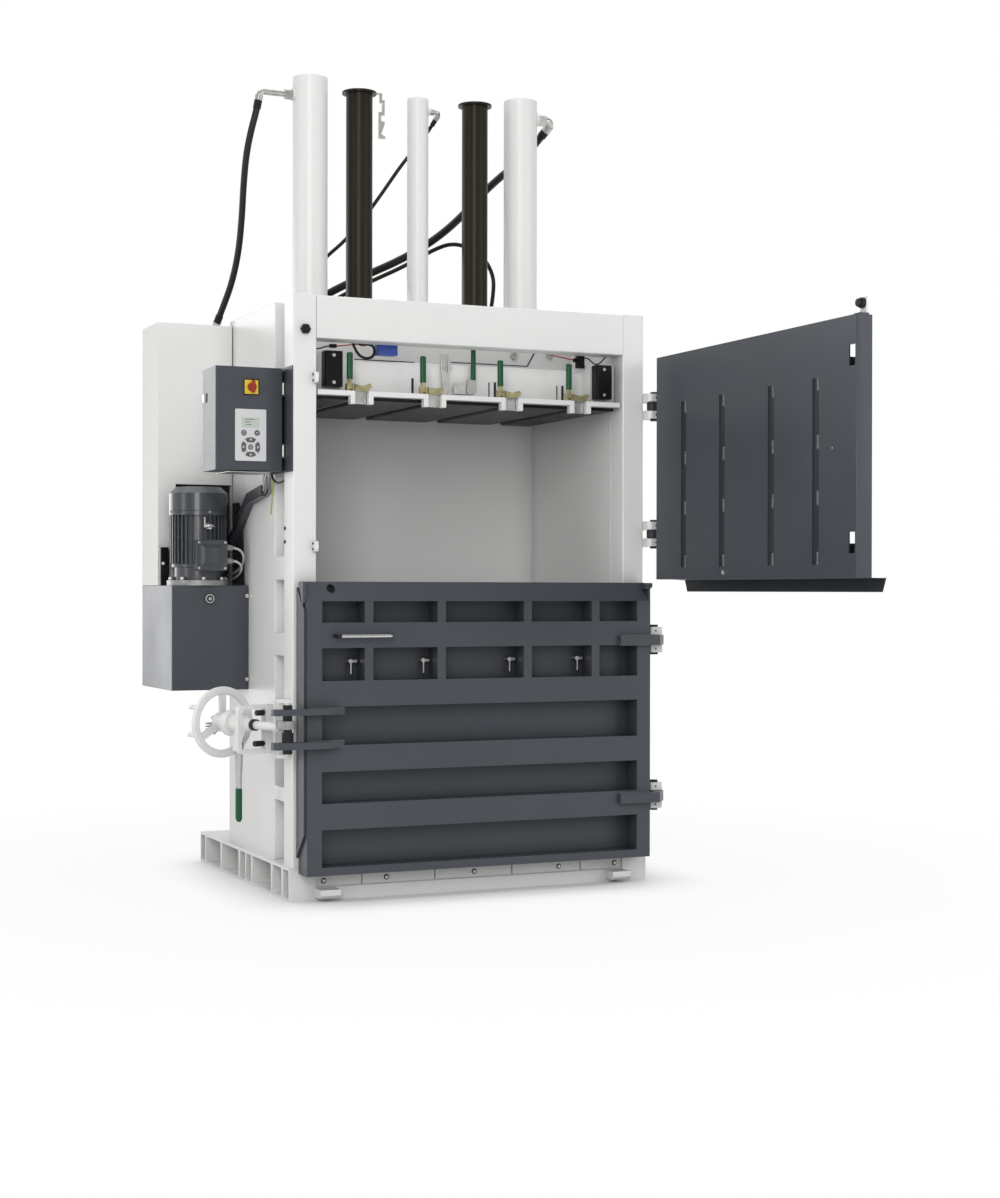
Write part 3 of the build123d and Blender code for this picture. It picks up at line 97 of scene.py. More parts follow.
# node tools for shaders and geometry: a value, a socket or a node's first output feeds an input
def feedInput(tree, socket, value):
    for one in value if isinstance(value, list) else [value]:
        if isinstance(one, bpy.types.Node):
            one = one.outputs[0]
        if isinstance(one, bpy.types.NodeSocket):
            tree.links.new(one, socket)
        else:
            socket.default_value = one


def addNode(tree, kind, inputs=None, **properties):
    node = tree.nodes.new(kind)
    for name, value in properties.items():
        setattr(node, name, value)
    for label, value in (inputs or {}).items():
        feedInput(tree, node.inputs[label], value)
    return node


def makeMath(tree, operation, first, second=0.0):
    return addNode(tree, "ShaderNodeMath", {0: first, 1: second}, operation=operation)


def times(tree, first, second):
    return makeMath(tree, "MULTIPLY", first, second)


def plus(tree, first, second):
    return makeMath(tree, "ADD", first, second)


def minus(tree, first, second):
    return makeMath(tree, "SUBTRACT", first, second)


def makeRange(tree, value, low, high, toLow, toHigh, shape="LINEAR"):
    return addNode(tree, "ShaderNodeMapRange", {
        "Value": value, "From Min": low, "From Max": high, "To Min": toLow, "To Max": toHigh},
        interpolation_type=shape)


def makeNoise(tree, place, scale, detail, roughness=0.5):
    return addNode(tree, "ShaderNodeTexNoise", {
        "Vector": place, "Scale": scale, "Detail": detail, "Roughness": roughness})


def makeTint(tree, color, share):
    return addNode(tree, "ShaderNodeVectorMath", {0: color, "Scale": share}, operation="SCALE")


# a tree with named inputs, each given by its first value or, without one, by its kind
def startTree(kind, name, inputs, outputs):
    kinds = {float: "Float", int: "Int", tuple: "Color"}
    tree = bpy.data.node_groups.new(name, kind)
    for label, value in inputs.items():
        word = value if isinstance(value, str) else kinds[type(value)]
        socket = tree.interface.new_socket(name=label, in_out="INPUT", socket_type="NodeSocket" + word)
        if not isinstance(value, str):
            socket.default_value = value
    for label, word in outputs.items():
        tree.interface.new_socket(name=label, in_out="OUTPUT", socket_type="NodeSocket" + word)
    return tree, tree.nodes.new("NodeGroupInput").outputs, tree.nodes.new("NodeGroupOutput").inputs


# "dustColor" in a dictionary is the input "Dust Color" of a tree
def labelOf(key):
    return "".join(" " + letter if letter.isupper() else letter for letter in key).title()


# one shader group for paint and moulded plastic: orange peel, cloudy tone, fine dust, and painted shade that darkens
# crevices
paintPattern = {"peelDetail": 2.0, "cloudScale": 2.3, "cloudDetail": 4.0, "speckScale": 34.0, "speckDetail": 7.0,
                "speckRoughness": 0.7, "worn": 0.05, "paintedShadeReach": 0.09, "paintedShadeSamples": 6}
surfaceOutputs = {"Color": "Color", "Roughness": "Float", "Height": "Float"}


def buildPaintGroup(s):
    tree, start, end = startTree("ShaderNodeTree", "sprayedPaintWithCreviceShade", {
        "Color": (0.8, 0.8, 0.8, 1.0), "Dust Color": (0.5, 0.48, 0.45, 1.0), "Tone": 0.04, "Dust": 0.1,
        "Roughness": 0.35, "Peel Scale": 420.0, "Crevice": 0.0}, surfaceOutputs)
    place = addNode(tree, "ShaderNodeTexCoord").outputs["Object"]
    # the coat is a little thicker here and thinner there, and narrow places get painted shade: an ambient occlusion
    # node darkens their colour
    swing = makeRange(tree, makeNoise(tree, place, s["cloudScale"], s["cloudDetail"]), 0.3, 0.7, -1.0, 1.0)
    open_ = addNode(tree, "ShaderNodeAmbientOcclusion", {"Distance": s["paintedShadeReach"]},
                    samples=s["paintedShadeSamples"]).outputs["AO"]
    paintedShadeShare = times(tree, minus(tree, 1.0, open_), start["Crevice"])
    shade = times(tree, plus(tree, times(tree, swing, start["Tone"]), 1.0), minus(tree, 1.0, paintedShadeShare))
    specks = makeNoise(tree, place, s["speckScale"], s["speckDetail"], s["speckRoughness"])
    dusty = times(tree, makeRange(tree, specks, 0.5, 0.8, 0.0, 1.0), start["Dust"])
    mixed = addNode(tree, "ShaderNodeMix", {"Factor": dusty, "A": makeTint(tree, start["Color"], shade),
                                            "B": start["Dust Color"]}, data_type="RGBA")
    worn = plus(tree, start["Roughness"], times(tree, swing, s["worn"]))
    feedInput(tree, end["Color"], mixed.outputs["Result"])
    feedInput(tree, end["Roughness"], plus(tree, worn, dusty))
    feedInput(tree, end["Height"], makeNoise(tree, place, start["Peel Scale"], s["peelDetail"]))
    return tree


# one shader group for worked metal: fine scratches along one axis and blotches
metalPattern = {"stretch": (1.0, 1.0, 0.06), "grainDetail": 3.0, "streak": 0.08, "blotchScale": 45.0,
                "blotchDetail": 5.0}


def buildMetalGroup(s):
    tree, start, end = startTree("ShaderNodeTree", "workedMetal", {
        "Color": (0.6, 0.6, 0.6, 1.0), "Blotch": 0.1, "Roughness": 0.3, "Grain Scale": 300.0}, surfaceOutputs)
    place = addNode(tree, "ShaderNodeTexCoord").outputs["Object"]
    stretched = addNode(tree, "ShaderNodeMapping", {"Vector": place, "Scale": s["stretch"]})
    grain = makeNoise(tree, stretched, start["Grain Scale"], s["grainDetail"])
    swing = makeRange(tree, makeNoise(tree, place, s["blotchScale"], s["blotchDetail"]), 0.3, 0.7, -1.0, 1.0)
    shade = plus(tree, times(tree, swing, start["Blotch"]), 1.0)
    streak = makeRange(tree, grain, 0.3, 0.7, -s["streak"], s["streak"])
    feedInput(tree, end["Color"], makeTint(tree, start["Color"], shade))
    feedInput(tree, end["Roughness"], plus(tree, start["Roughness"], streak))
    feedInput(tree, end["Height"], grain)
    return tree


# every finish, with what differs from the defaults
surfaceDefaults = {"bump": 0.05, "bumpDepth": 0.001, "coat": 0.0, "specular": 0.5, "metallic": 0.0}
paintDefaults = {**surfaceDefaults, "tone": 0.05, "dust": 0.08, "roughness": 0.4, "peelScale": 900.0, "crevice": 0.0}
# the crevice value darkens the colour of narrow places on the white, cover and grey paint: painted shade
paints = {
    "whitePaint": {"slot": "white_paint", "color": (0.84, 0.84, 0.83), "dustColor": (0.62, 0.61, 0.58),
                   "tone": 0.012, "dust": 0.05, "roughness": 0.34, "peelScale": 380.0, "crevice": 0.34},
    # the cover's copy of the white paint: its lower specular is real, its lighter colour is painted light
    "coverPaintLit": {"slot": "white_paint", "color": (0.87, 0.87, 0.85), "dustColor": (0.62, 0.61, 0.58),
                   "tone": 0.012, "dust": 0.05, "roughness": 0.5, "peelScale": 380.0, "specular": 0.08,
                   "crevice": 0.34},
    "padPaint": {"slot": "gray_paint", "color": (0.01, 0.0096, 0.0096), "dustColor": (0.035, 0.035, 0.035),
                 "tone": 0.1, "dust": 0.1, "roughness": 0.36, "peelScale": 330.0, "specular": 0.25},
    # the weld grey is lighter than the grey paint round it: a painted highlight on the beads, whose gloss is real
    "weldGrey": {"slot": "gray_paint", "color": (0.115, 0.12, 0.13), "dustColor": (0.2, 0.2, 0.21),
                 "tone": 0.15, "dust": 0.1, "roughness": 0.2, "peelScale": 700.0, "bump": 0.1, "coat": 0.2},
    "greyPaint": {"slot": "gray_paint", "color": (0.064, 0.071, 0.084), "dustColor": (0.11, 0.115, 0.125),
                  "tone": 0.06, "roughness": 0.36, "peelScale": 330.0, "specular": 0.36, "crevice": 0.6},
    # a darker copy of the grey paint: painted shade for the flap's skirt and the floors of its seams
    "paintedShadeGrey": {"slot": "gray_paint", "color": (0.036, 0.04, 0.047), "dustColor": (0.04, 0.045, 0.05),
                  "tone": 0.08, "dust": 0.05, "peelScale": 330.0, "specular": 0.22},
    "olivePaint": {"slot": "olive_paint", "color": (0.022, 0.0185, 0.012), "dustColor": (0.04, 0.036, 0.03),
                   "tone": 0.08, "dust": 0.04, "roughness": 0.33, "peelScale": 260.0, "bump": 0.02,
                   "specular": 0.15},
    "motorPaint": {"slot": "motor_paint", "color": (0.052, 0.057, 0.066), "dustColor": (0.1, 0.1, 0.11),
                   "tone": 0.07, "roughness": 0.28, "peelScale": 500.0, "coat": 0.3},
    "blackPaint": {"slot": "black_steel", "color": (0.01, 0.01, 0.011), "dustColor": (0.04, 0.04, 0.04),
                   "tone": 0.08, "dust": 0.12, "roughness": 0.42, "peelScale": 600.0, "bump": 0.08,
                   "specular": 0.28},
    "blackRubber": {"slot": "black_rubber", "color": (0.008, 0.008, 0.0085), "dustColor": (0.03, 0.03, 0.03),
                    "tone": 0.1, "dust": 0.1, "roughness": 0.42, "bump": 0.1, "specular": 0.35},
    "greenGrip": {"slot": "green_grip", "color": (0.007, 0.086, 0.029), "dustColor": (0.02, 0.09, 0.045),
                  "tone": 0.06, "roughness": 0.38, "peelScale": 700.0, "specular": 0.3},
    "blackPlastic": {"slot": "black_plastic", "color": (0.004, 0.004, 0.0044), "dustColor": (0.02, 0.02, 0.02),
                     "tone": 0.06, "dust": 0.05, "roughness": 0.34, "peelScale": 1100.0, "bump": 0.1,
                     "specular": 0.2},
    "paleFoil": {"slot": "keypad_foil", "color": (0.66, 0.66, 0.67), "dustColor": (0.5, 0.5, 0.5),
                 "tone": 0.01, "dust": 0.03, "peelScale": 1400.0, "bump": 0.02},
    "redPlastic": {"slot": "red_plastic", "color": (0.33, 0.022, 0.01), "dustColor": (0.4, 0.1, 0.08),
                   "tone": 0.03, "dust": 0.05, "roughness": 0.3, "bump": 0.02, "coat": 0.2},
    "yellowPlate": {"slot": "keypad_foil", "color": (0.8, 0.58, 0.04), "dustColor": (0.6, 0.45, 0.2),
                    "tone": 0.02, "dust": 0.05, "roughness": 0.35, "bump": 0.02},
    "redCable": {"slot": "red_plastic", "color": (0.42, 0.03, 0.02), "dustColor": (0.4, 0.12, 0.1),
                 "tone": 0.04, "dust": 0.06, "bump": 0.03},
    "paleCable": {"slot": "black_rubber", "color": (0.55, 0.56, 0.56), "dustColor": (0.45, 0.45, 0.45),
                  "tone": 0.04, "dust": 0.1, "roughness": 0.45, "bump": 0.04},
    "earthCable": {"slot": "black_rubber", "color": (0.42, 0.5, 0.04), "dustColor": (0.4, 0.4, 0.2),
                   "roughness": 0.45, "bump": 0.03},
    "bluePlastic": {"slot": "black_plastic", "color": (0.035, 0.085, 0.42), "dustColor": (0.1, 0.15, 0.4),
                    "bump": 0.03},
    "greyCable": {"slot": "black_rubber", "color": (0.24, 0.245, 0.25), "dustColor": (0.3, 0.3, 0.3),
                  "dust": 0.1, "roughness": 0.5},
    "keyGrey": {"slot": "black_plastic", "color": (0.1, 0.1, 0.105), "dustColor": (0.2, 0.2, 0.2),
                "tone": 0.03, "dust": 0.05, "roughness": 0.45, "peelScale": 1400.0, "bump": 0.02},
    "displayGlass": {"slot": "black_plastic", "color": (0.55, 0.6, 0.55), "dustColor": (0.5, 0.52, 0.5),
                     "tone": 0.04, "dust": 0.04, "roughness": 0.18, "peelScale": 1400.0, "bump": 0.0, "coat": 0.4},
}
metals = {
    "zincSteel": {"slot": "zinc", "color": (0.56, 0.56, 0.54), "blotch": 0.14, "roughness": 0.34,
                  "grainScale": 420.0, "metallic": 0.85},
    "bareSteel": {"slot": "bare_steel", "color": (0.62, 0.62, 0.61), "blotch": 0.08, "roughness": 0.24,
                  "grainScale": 260.0, "metallic": 1.0, "bump": 0.03},
    "castGrey": {"slot": "bare_steel", "color": (0.32, 0.32, 0.315), "blotch": 0.16, "roughness": 0.46,
                 "grainScale": 500.0, "metallic": 0.6, "bump": 0.12},
    "yellowZinc": {"slot": "zinc", "color": (0.42, 0.38, 0.2), "blotch": 0.3, "roughness": 0.34,
                   "grainScale": 400.0, "metallic": 0.75},
    "levelGrey": {"slot": "bare_steel", "color": (0.5, 0.5, 0.485), "blotch": 0.06, "roughness": 0.42,
                  "grainScale": 380.0, "metallic": 0.3},
}


def newMaterial(name):
    material = bpy.data.materials.new(name)
    material.use_nodes = True
    material.node_tree.nodes.clear()
    return material, material.node_tree


def makeFinish(name, group, s):
    material, tree = newMaterial(name)
    surface = addNode(tree, "ShaderNodeGroup", node_tree=group)
    for key, value in s.items():
        if labelOf(key) in surface.inputs:
            surface.inputs[labelOf(key)].default_value = (*value, 1.0) if isinstance(value, tuple) else value
    bump = addNode(tree, "ShaderNodeBump", {
        "Strength": s["bump"], "Distance": s["bumpDepth"], "Height": surface.outputs["Height"]})
    bsdf = addNode(tree, "ShaderNodeBsdfPrincipled", {
        "Base Color": surface.outputs["Color"], "Roughness": surface.outputs["Roughness"], "Normal": bump,
        "Metallic": s["metallic"], "Coat Weight": s["coat"], "Specular IOR Level": s["specular"]})
    addNode(tree, "ShaderNodeOutputMaterial", {"Surface": bsdf})
    return material


paintGroup, metalGroup = buildPaintGroup(paintPattern), buildMetalGroup(metalPattern)
finish = {name: makeFinish(name, paintGroup, {**paintDefaults, **s}) for name, s in paints.items()}
finish.update({name: makeFinish(name, metalGroup, {**surfaceDefaults, **s}) for name, s in metals.items()})
print("materials made:", len(finish))

# which finish each node takes
nodeFinishes = {
    "whitePaint": "base_frame front_columns side_walls back_wall front_crossbeam press_head outer_cylinders "
                  "middle_cylinder platen ram_beam hinge_lugs latch_spindle latch_yoke latch_keeper handwheel "
                  "flap_catches",
    "coverPaintLit": "power_cover",
    "greyPaint": "lower_door door_arms flap_panel flap_arms power_tank cabinet_tray cabinet_cover",
    "padPaint": "platen_pads",
    "olivePaint": "guide_tubes",
    "motorPaint": "motor_housing motor_cowl terminal_box cable_duct",
    "blackPlastic": "slide_blocks valve_block",
    "blackPaint": "latch_bolt latch_fittings flap_latches hinge_pins",
    "blackRubber": "flap_buffer",
    "zincSteel": "cam_plate clamp_jaws hose_fittings tank_fittings wire_holders release_linkage frame_bolts",
    "bareSteel": "guide_bushes piston_rods motor_rotor door_handle",
    "greenGrip": "strap_lever_1 strap_lever_2 strap_lever_3 strap_lever_4 release_lever latch_lever",
    "paleFoil": "keypad",
    "redPlastic": "switch_knob",
}
finishOfNode = {node: name for name, members in nodeFinishes.items() for node in members.split()}


def setFinish(obj, name):
    obj.data.materials.clear()
    obj.data.materials.append(finish[name])


for node, name in finishOfNode.items():
    setFinish(nodes[node], name)
print("nodes painted")


# mesh tools for small pieces
def addBlock(work, low, high, ease=0.0, index=0):
    made = bmesh.ops.create_cube(work, size=1.0)["verts"]
    low, high = Vector(low), Vector(high)
    for vertex in made:
        vertex.co = Vector(a + (b - a) * (c + 0.5) for a, b, c in zip(low, high, vertex.co))
    for face in {face for vertex in made for face in vertex.link_faces}:
        face.material_index = index
    if ease:
        edges = list({edge for vertex in made for edge in vertex.link_edges})
        bmesh.ops.bevel(work, geom=edges, offset=ease, segments=2, profile=0.5, affect="EDGES",
                        clamp_overlap=True, material=index)


def addCircle(work, middle, side, other, radius, sides):
    return [work.verts.new(middle + (side * math.cos(turn) + other * math.sin(turn)) * radius)
            for turn in (2 * math.pi * k / sides for k in range(sides))]


def addWall(work, before, after, index=0):
    for k in range(len(before)):
        j = (k + 1) % len(before)
        work.faces.new((before[k], before[j], after[j], after[k])).material_index = index


def closeRings(work, rings, index=0):
    for before, after in zip(rings, rings[1:]):
        addWall(work, before, after, index)
    work.faces.new(rings[0][::-1]).material_index = index
    work.faces.new(rings[-1]).material_index = index


# a turned form: the profile holds pairs of distance along the axis and radius, closed by flat ends
def addTurned(work, start, toward, profile, sides=24, index=0):
    axis = Vector(toward).normalized()
    side = axis.orthogonal().normalized()
    closeRings(work, [addCircle(work, Vector(start) + axis * distance, side, axis.cross(side), radius, sides)
                      for distance, radius in profile], index)


# a flat plate from the points of its outline, thick by the reach vector
def addOutline(work, points, reach, index=0):
    bottom = [work.verts.new(point) for point in points]
    top = [work.verts.new(Vector(point) + Vector(reach)) for point in points]
    faces = [bottom, top[::-1]]
    for k in range(len(points)):
        j = (k + 1) % len(points)
        faces.append((bottom[k], top[k], top[j], bottom[j]))
    for face in faces:
        work.faces.new(face).material_index = index


# pairs as points, with the level put in as their coordinate on the axis
def flatAt(axis, level, pairs):
    return [(*pair[:axis], level, *pair[axis:]) for pair in pairs]


# a round bar bent through points close together, closed by flat ends
def addRoundBar(work, points, radius, sides=10):
    places = [Vector(point) for point in points]
    rings = []
    side = None
    for k, place in enumerate(places):
        toward = (places[min(k + 1, len(places) - 1)] - places[max(k - 1, 0)]).normalized()
        side = toward.orthogonal() if side is None else side - toward * side.dot(toward)
        side.normalize()
        rings.append(addCircle(work, place, side, toward.cross(side), radius, sides))
    closeRings(work, rings)


# the latch turns about this bolt of the door, and its spindle runs back and to the left
latchLine = {"bolt": Vector((-0.735, -0.67, 0.607)), "angle": math.radians(18.0)}
alongSpindle = Vector((-math.sin(latchLine["angle"]), math.cos(latchLine["angle"]), 0.0))


def onSpindle(distance):
    return latchLine["bolt"] + alongSpindle * distance


def fromBolt(point):
    return math.hypot(point.x - latchLine["bolt"].x, point.y - latchLine["bolt"].y)


# the flap's sheet: its seams are moved to where the photograph has them, its skirt becomes a narrow shelf
# with a lip, a thin bracket stands on its top corner, and its bend is rounded
flapSheet = {
    "seams": ((-0.8203, -0.836), (-1.0695, -1.103), (-1.3699, -1.42), (-1.6446, -1.687)),  # from y, to y
    "seamReach": 0.0125, "seamWiden": 1.75, "seamFloor": 0.6978, "seamEnds": (1.155, 1.749),
    "skirtLift": 0.0425, "bracketLevel": 1.9315, "bend": (0.693, -1.913), "bendRadius": 0.0062,
    "lip": [(-1.913, 1.112), (-0.655, 1.112), (-0.674, 1.0675), (-1.894, 1.0675)], "lipFace": 0.8012,
    "lipThickness": 0.0048, "bracket": ((0.729, -1.913, 1.93), (0.7355, -1.88, 1.982)),
}


# flap faces that take the darker grey: painted shade on the skirt and on the floors of the seams
def inShade(c):
    return (c.z < 1.1105 and c.x > 0.76) or (0.6965 < c.x < 0.6979 and 1.15 < c.z < 1.755)


def shapeFlap(work):
    s = flapSheet
    for vertex in work.verts:
        for old, new in s["seams"]:
            if vertex.co.x < 0.6962 and abs(vertex.co.y - old) < s["seamReach"] and vertex.co.z > 1.13:
                vertex.co.y = new + (vertex.co.y - old) * s["seamWiden"]
                vertex.co.z = s["seamEnds"][vertex.co.z > 1.5]
                if vertex.co.x > 0.694:
                    vertex.co.x = s["seamFloor"]
                break
        if vertex.co.z < 1.1:
            vertex.co.z += s["skirtLift"]
        if vertex.co.z > 1.94:
            vertex.co.z = s["bracketLevel"]
    bend = [edge for edge in work.edges
            if all(abs(v.co.x - s["bend"][0]) < 1e-4 and abs(v.co.y - s["bend"][1]) < 1e-4 for v in edge.verts)]
    bmesh.ops.bevel(work, geom=bend, offset=s["bendRadius"], segments=4, profile=0.5, affect="EDGES",
                    clamp_overlap=True)
    addOutline(work, flatAt(0, s["lipFace"], s["lip"]), (s["lipThickness"], 0.0, 0.0))
    addBlock(work, *s["bracket"])
    bmesh.ops.recalc_face_normals(work, faces=work.faces)


# the flat bar of the latch lever widens upwards, and its grip has a round end
leverBar = {"spindle": 0.287, "foot": 0.3815, "height": 0.168, "widenFoot": 0.1, "widenTop": 0.28,
            "gripEnd": 0.265, "gripDepth": 0.0126, "gripStretch": 2.1, "gripNarrow": 0.3}


def shapeLever(work):
    s = leverBar
    middle = onSpindle(s["spindle"])
    for vertex in work.verts:
        place = vertex.co - Vector((middle.x, middle.y, vertex.co.z))
        rise = vertex.co.z - s["foot"]
        if rise > 0.0:
            widen = s["widenFoot"] + s["widenTop"] * rise / s["height"]
            vertex.co += alongSpindle * place.dot(alongSpindle) * widen
        elif vertex.co.z < 0.2712:
            vertex.co.z = s["gripEnd"] + (vertex.co.z - s["gripEnd"]) * s["gripStretch"]
            narrow = s["gripNarrow"] * (s["gripEnd"] + s["gripDepth"] - vertex.co.z) / s["gripDepth"]
            vertex.co -= Vector((place.x, place.y, 0.0)) * narrow


# the ribs behind the back wall end short of its edges
def shapeRibs(work):
    for vertex in work.verts:
        if vertex.co.y > 0.2475 and abs(vertex.co.x) > 0.6:
            vertex.co.x = math.copysign(0.628, vertex.co.x)


# the photograph shows no bolt on the right column
def shapeBolts(work):
    gone = [vertex for vertex in work.verts if vertex.co.x > 0.6 and vertex.co.z > 1.9]
    bmesh.ops.delete(work, geom=gone, context="VERTS")


shaped = {"flap_panel": shapeFlap, "latch_lever": shapeLever, "back_wall": shapeRibs, "frame_bolts": shapeBolts}

# nodes with a second finish on the faces where the test holds
secondFinish = {
    "latch_spindle": [("castGrey", lambda c: (c - latchLine["bolt"]).dot(alongSpindle) < 0.04)],
    "latch_bolt": [("zincSteel", lambda c: fromBolt(c) < 0.0096)],
    "latch_lever": [("levelGrey", lambda c: c.z > leverBar["foot"])],
    "cabinet_cover": [("zincSteel", lambda c: c.x > -0.6945 and c.y < -0.47)],
    "keypad": [("yellowPlate", lambda c: c.z > 1.72)],
    "clamp_jaws": [("yellowZinc", lambda c: c.z > 1.765 and abs(c.y + 0.52) > 0.0095)],
    "motor_housing": [("castGrey", lambda c: c.z < 1.107)],
    "terminal_box": [("greyCable", lambda c: c.x > -0.7595)],
    "wire_holders": [("blackPaint", lambda c: c.z < 0.8215)],
    "door_handle": [("blackPaint", lambda c: c.x < -0.548)],
    "flap_panel": [("whitePaint", lambda c: c.z > 1.932), ("paintedShadeGrey", inShade)],
    "frame_bolts": [("blackPaint", lambda c: c.x < -0.6 and c.z > 1.9)],
    "release_lever": [("levelGrey", lambda c: c.z < 1.833)],
    **{f"strap_lever_{number}": [("yellowZinc", lambda c: c.z < 1.806)] for number in range(1, 5)},
}

# eased edges, by their width in metres: a welded copy of each node's mesh with its sharp edges bevelled
easedEdges = {
    0.003: "front_columns side_walls front_crossbeam power_cover ram_beam press_head",
    0.0025: "base_frame lower_door",
    0.002: "power_tank cabinet_cover platen cable_duct valve_block back_wall",
    0.0018: "flap_panel",
    0.0015: "flap_latches door_arms flap_arms hinge_lugs slide_blocks handwheel latch_yoke platen_pads",
    0.001: "latch_keeper",
    0.0008: "clamp_jaws",
    0.0006: "latch_spindle latch_bolt latch_lever keypad motor_housing terminal_box wire_holders door_handle "
            "frame_bolts release_lever strap_lever_1 strap_lever_2 strap_lever_3 strap_lever_4",
}
sharpAngle, flatAngle, weldDistance = math.radians(32.0), math.radians(0.5), 1e-5


def easeNode(node, width):
    mesh = nodes[node].data.copy()
    work = bmesh.new()
    work.from_mesh(mesh)
    bmesh.ops.remove_doubles(work, verts=work.verts, dist=weldDistance)
    if node in shaped:
        shaped[node](work)
    bmesh.ops.dissolve_limit(work, angle_limit=flatAngle, verts=work.verts, edges=work.edges)
    work.to_mesh(mesh)
    work.free()
    if "custom_normal" in mesh.attributes:
        mesh.attributes.remove(mesh.attributes["custom_normal"])
    mesh.shade_smooth()
    mesh.set_sharp_from_angle(angle=sharpAngle)
    piece = linked(bpy.data.objects.new(node + "_eased", mesh))
    bevel = piece.modifiers.new("ease", "BEVEL")
    bevel.width, bevel.segments = width, 2
    bevel.limit_method, bevel.angle_limit = "ANGLE", sharpAngle
    bevel.use_clamp_overlap = bevel.harden_normals = True
    made = evaluatedMesh(piece)
    piece.modifiers.clear()
    piece.data = made
    made.polygons.foreach_set("material_index", [0] * len(made.polygons))
    name = finishOfNode[node]
    setFinish(piece, name)
    for place, (other, holds) in enumerate(secondFinish.get(node, []), 1):
        made.materials.append(finish[other])
        for face in made.polygons:
            if holds(face.center):
                face.material_index = place
    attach(piece, nodes[node]["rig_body"])
    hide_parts(node)


for width, members in easedEdges.items():
    for node in members.split():
        easeNode(node, width)
print("edges eased:", sum(len(members.split()) for members in easedEdges.values()))


# hoses: the same routes as their solids, in millimetres
hoses = {
    "hose_left": {"diameter": 25, "points": [
        (-634, 0, 2878), (-642, 0, 2836), (-655, 20, 2772), (-663, 55, 2690), (-660, 100, 2585), (-652, 148, 2470),
        (-650, 196, 2350), (-660, 250, 2240), (-680, 298, 2155), (-697, 325, 2095)]},
    "hose_right": {"diameter": 30, "points": [
        (560, 39, 2890), (546, 78, 2860), (520, 112, 2820), (480, 136, 2771), (418, 142, 2722), (330, 146, 2640),
        (222, 150, 2520), (104, 155, 2425), (-20, 160, 2352), (-150, 165, 2290), (-280, 171, 2224),
        (-400, 178, 2150), (-490, 182, 2082), (-560, 184, 2040)]},
    "hose_center": {"diameter": 14, "points": [
        (84, 24, 2886), (76, 54, 2861), (48, 82, 2811), (-28, 99, 2716), (-95, 116, 2612), (-168, 134, 2505),
        (-240, 148, 2415), (-320, 150, 2345), (-390, 146, 2268), (-448, 140, 2180), (-502, 136, 2095),
        (-560, 134, 2030)]},
    "hose_loop": {"diameter": 16, "points": [
        (353, 128, 2105), (362, 132, 2165), (379, 140, 2245), (384, 146, 2315), (350, 150, 2384), (285, 149, 2424),
        (205, 145, 2438), (120, 132, 2404), (-2, 134, 2330), (-130, 139, 2268), (-262, 144, 2199),
        (-372, 152, 2126), (-470, 157, 2042), (-560, 160, 1965)]},
}
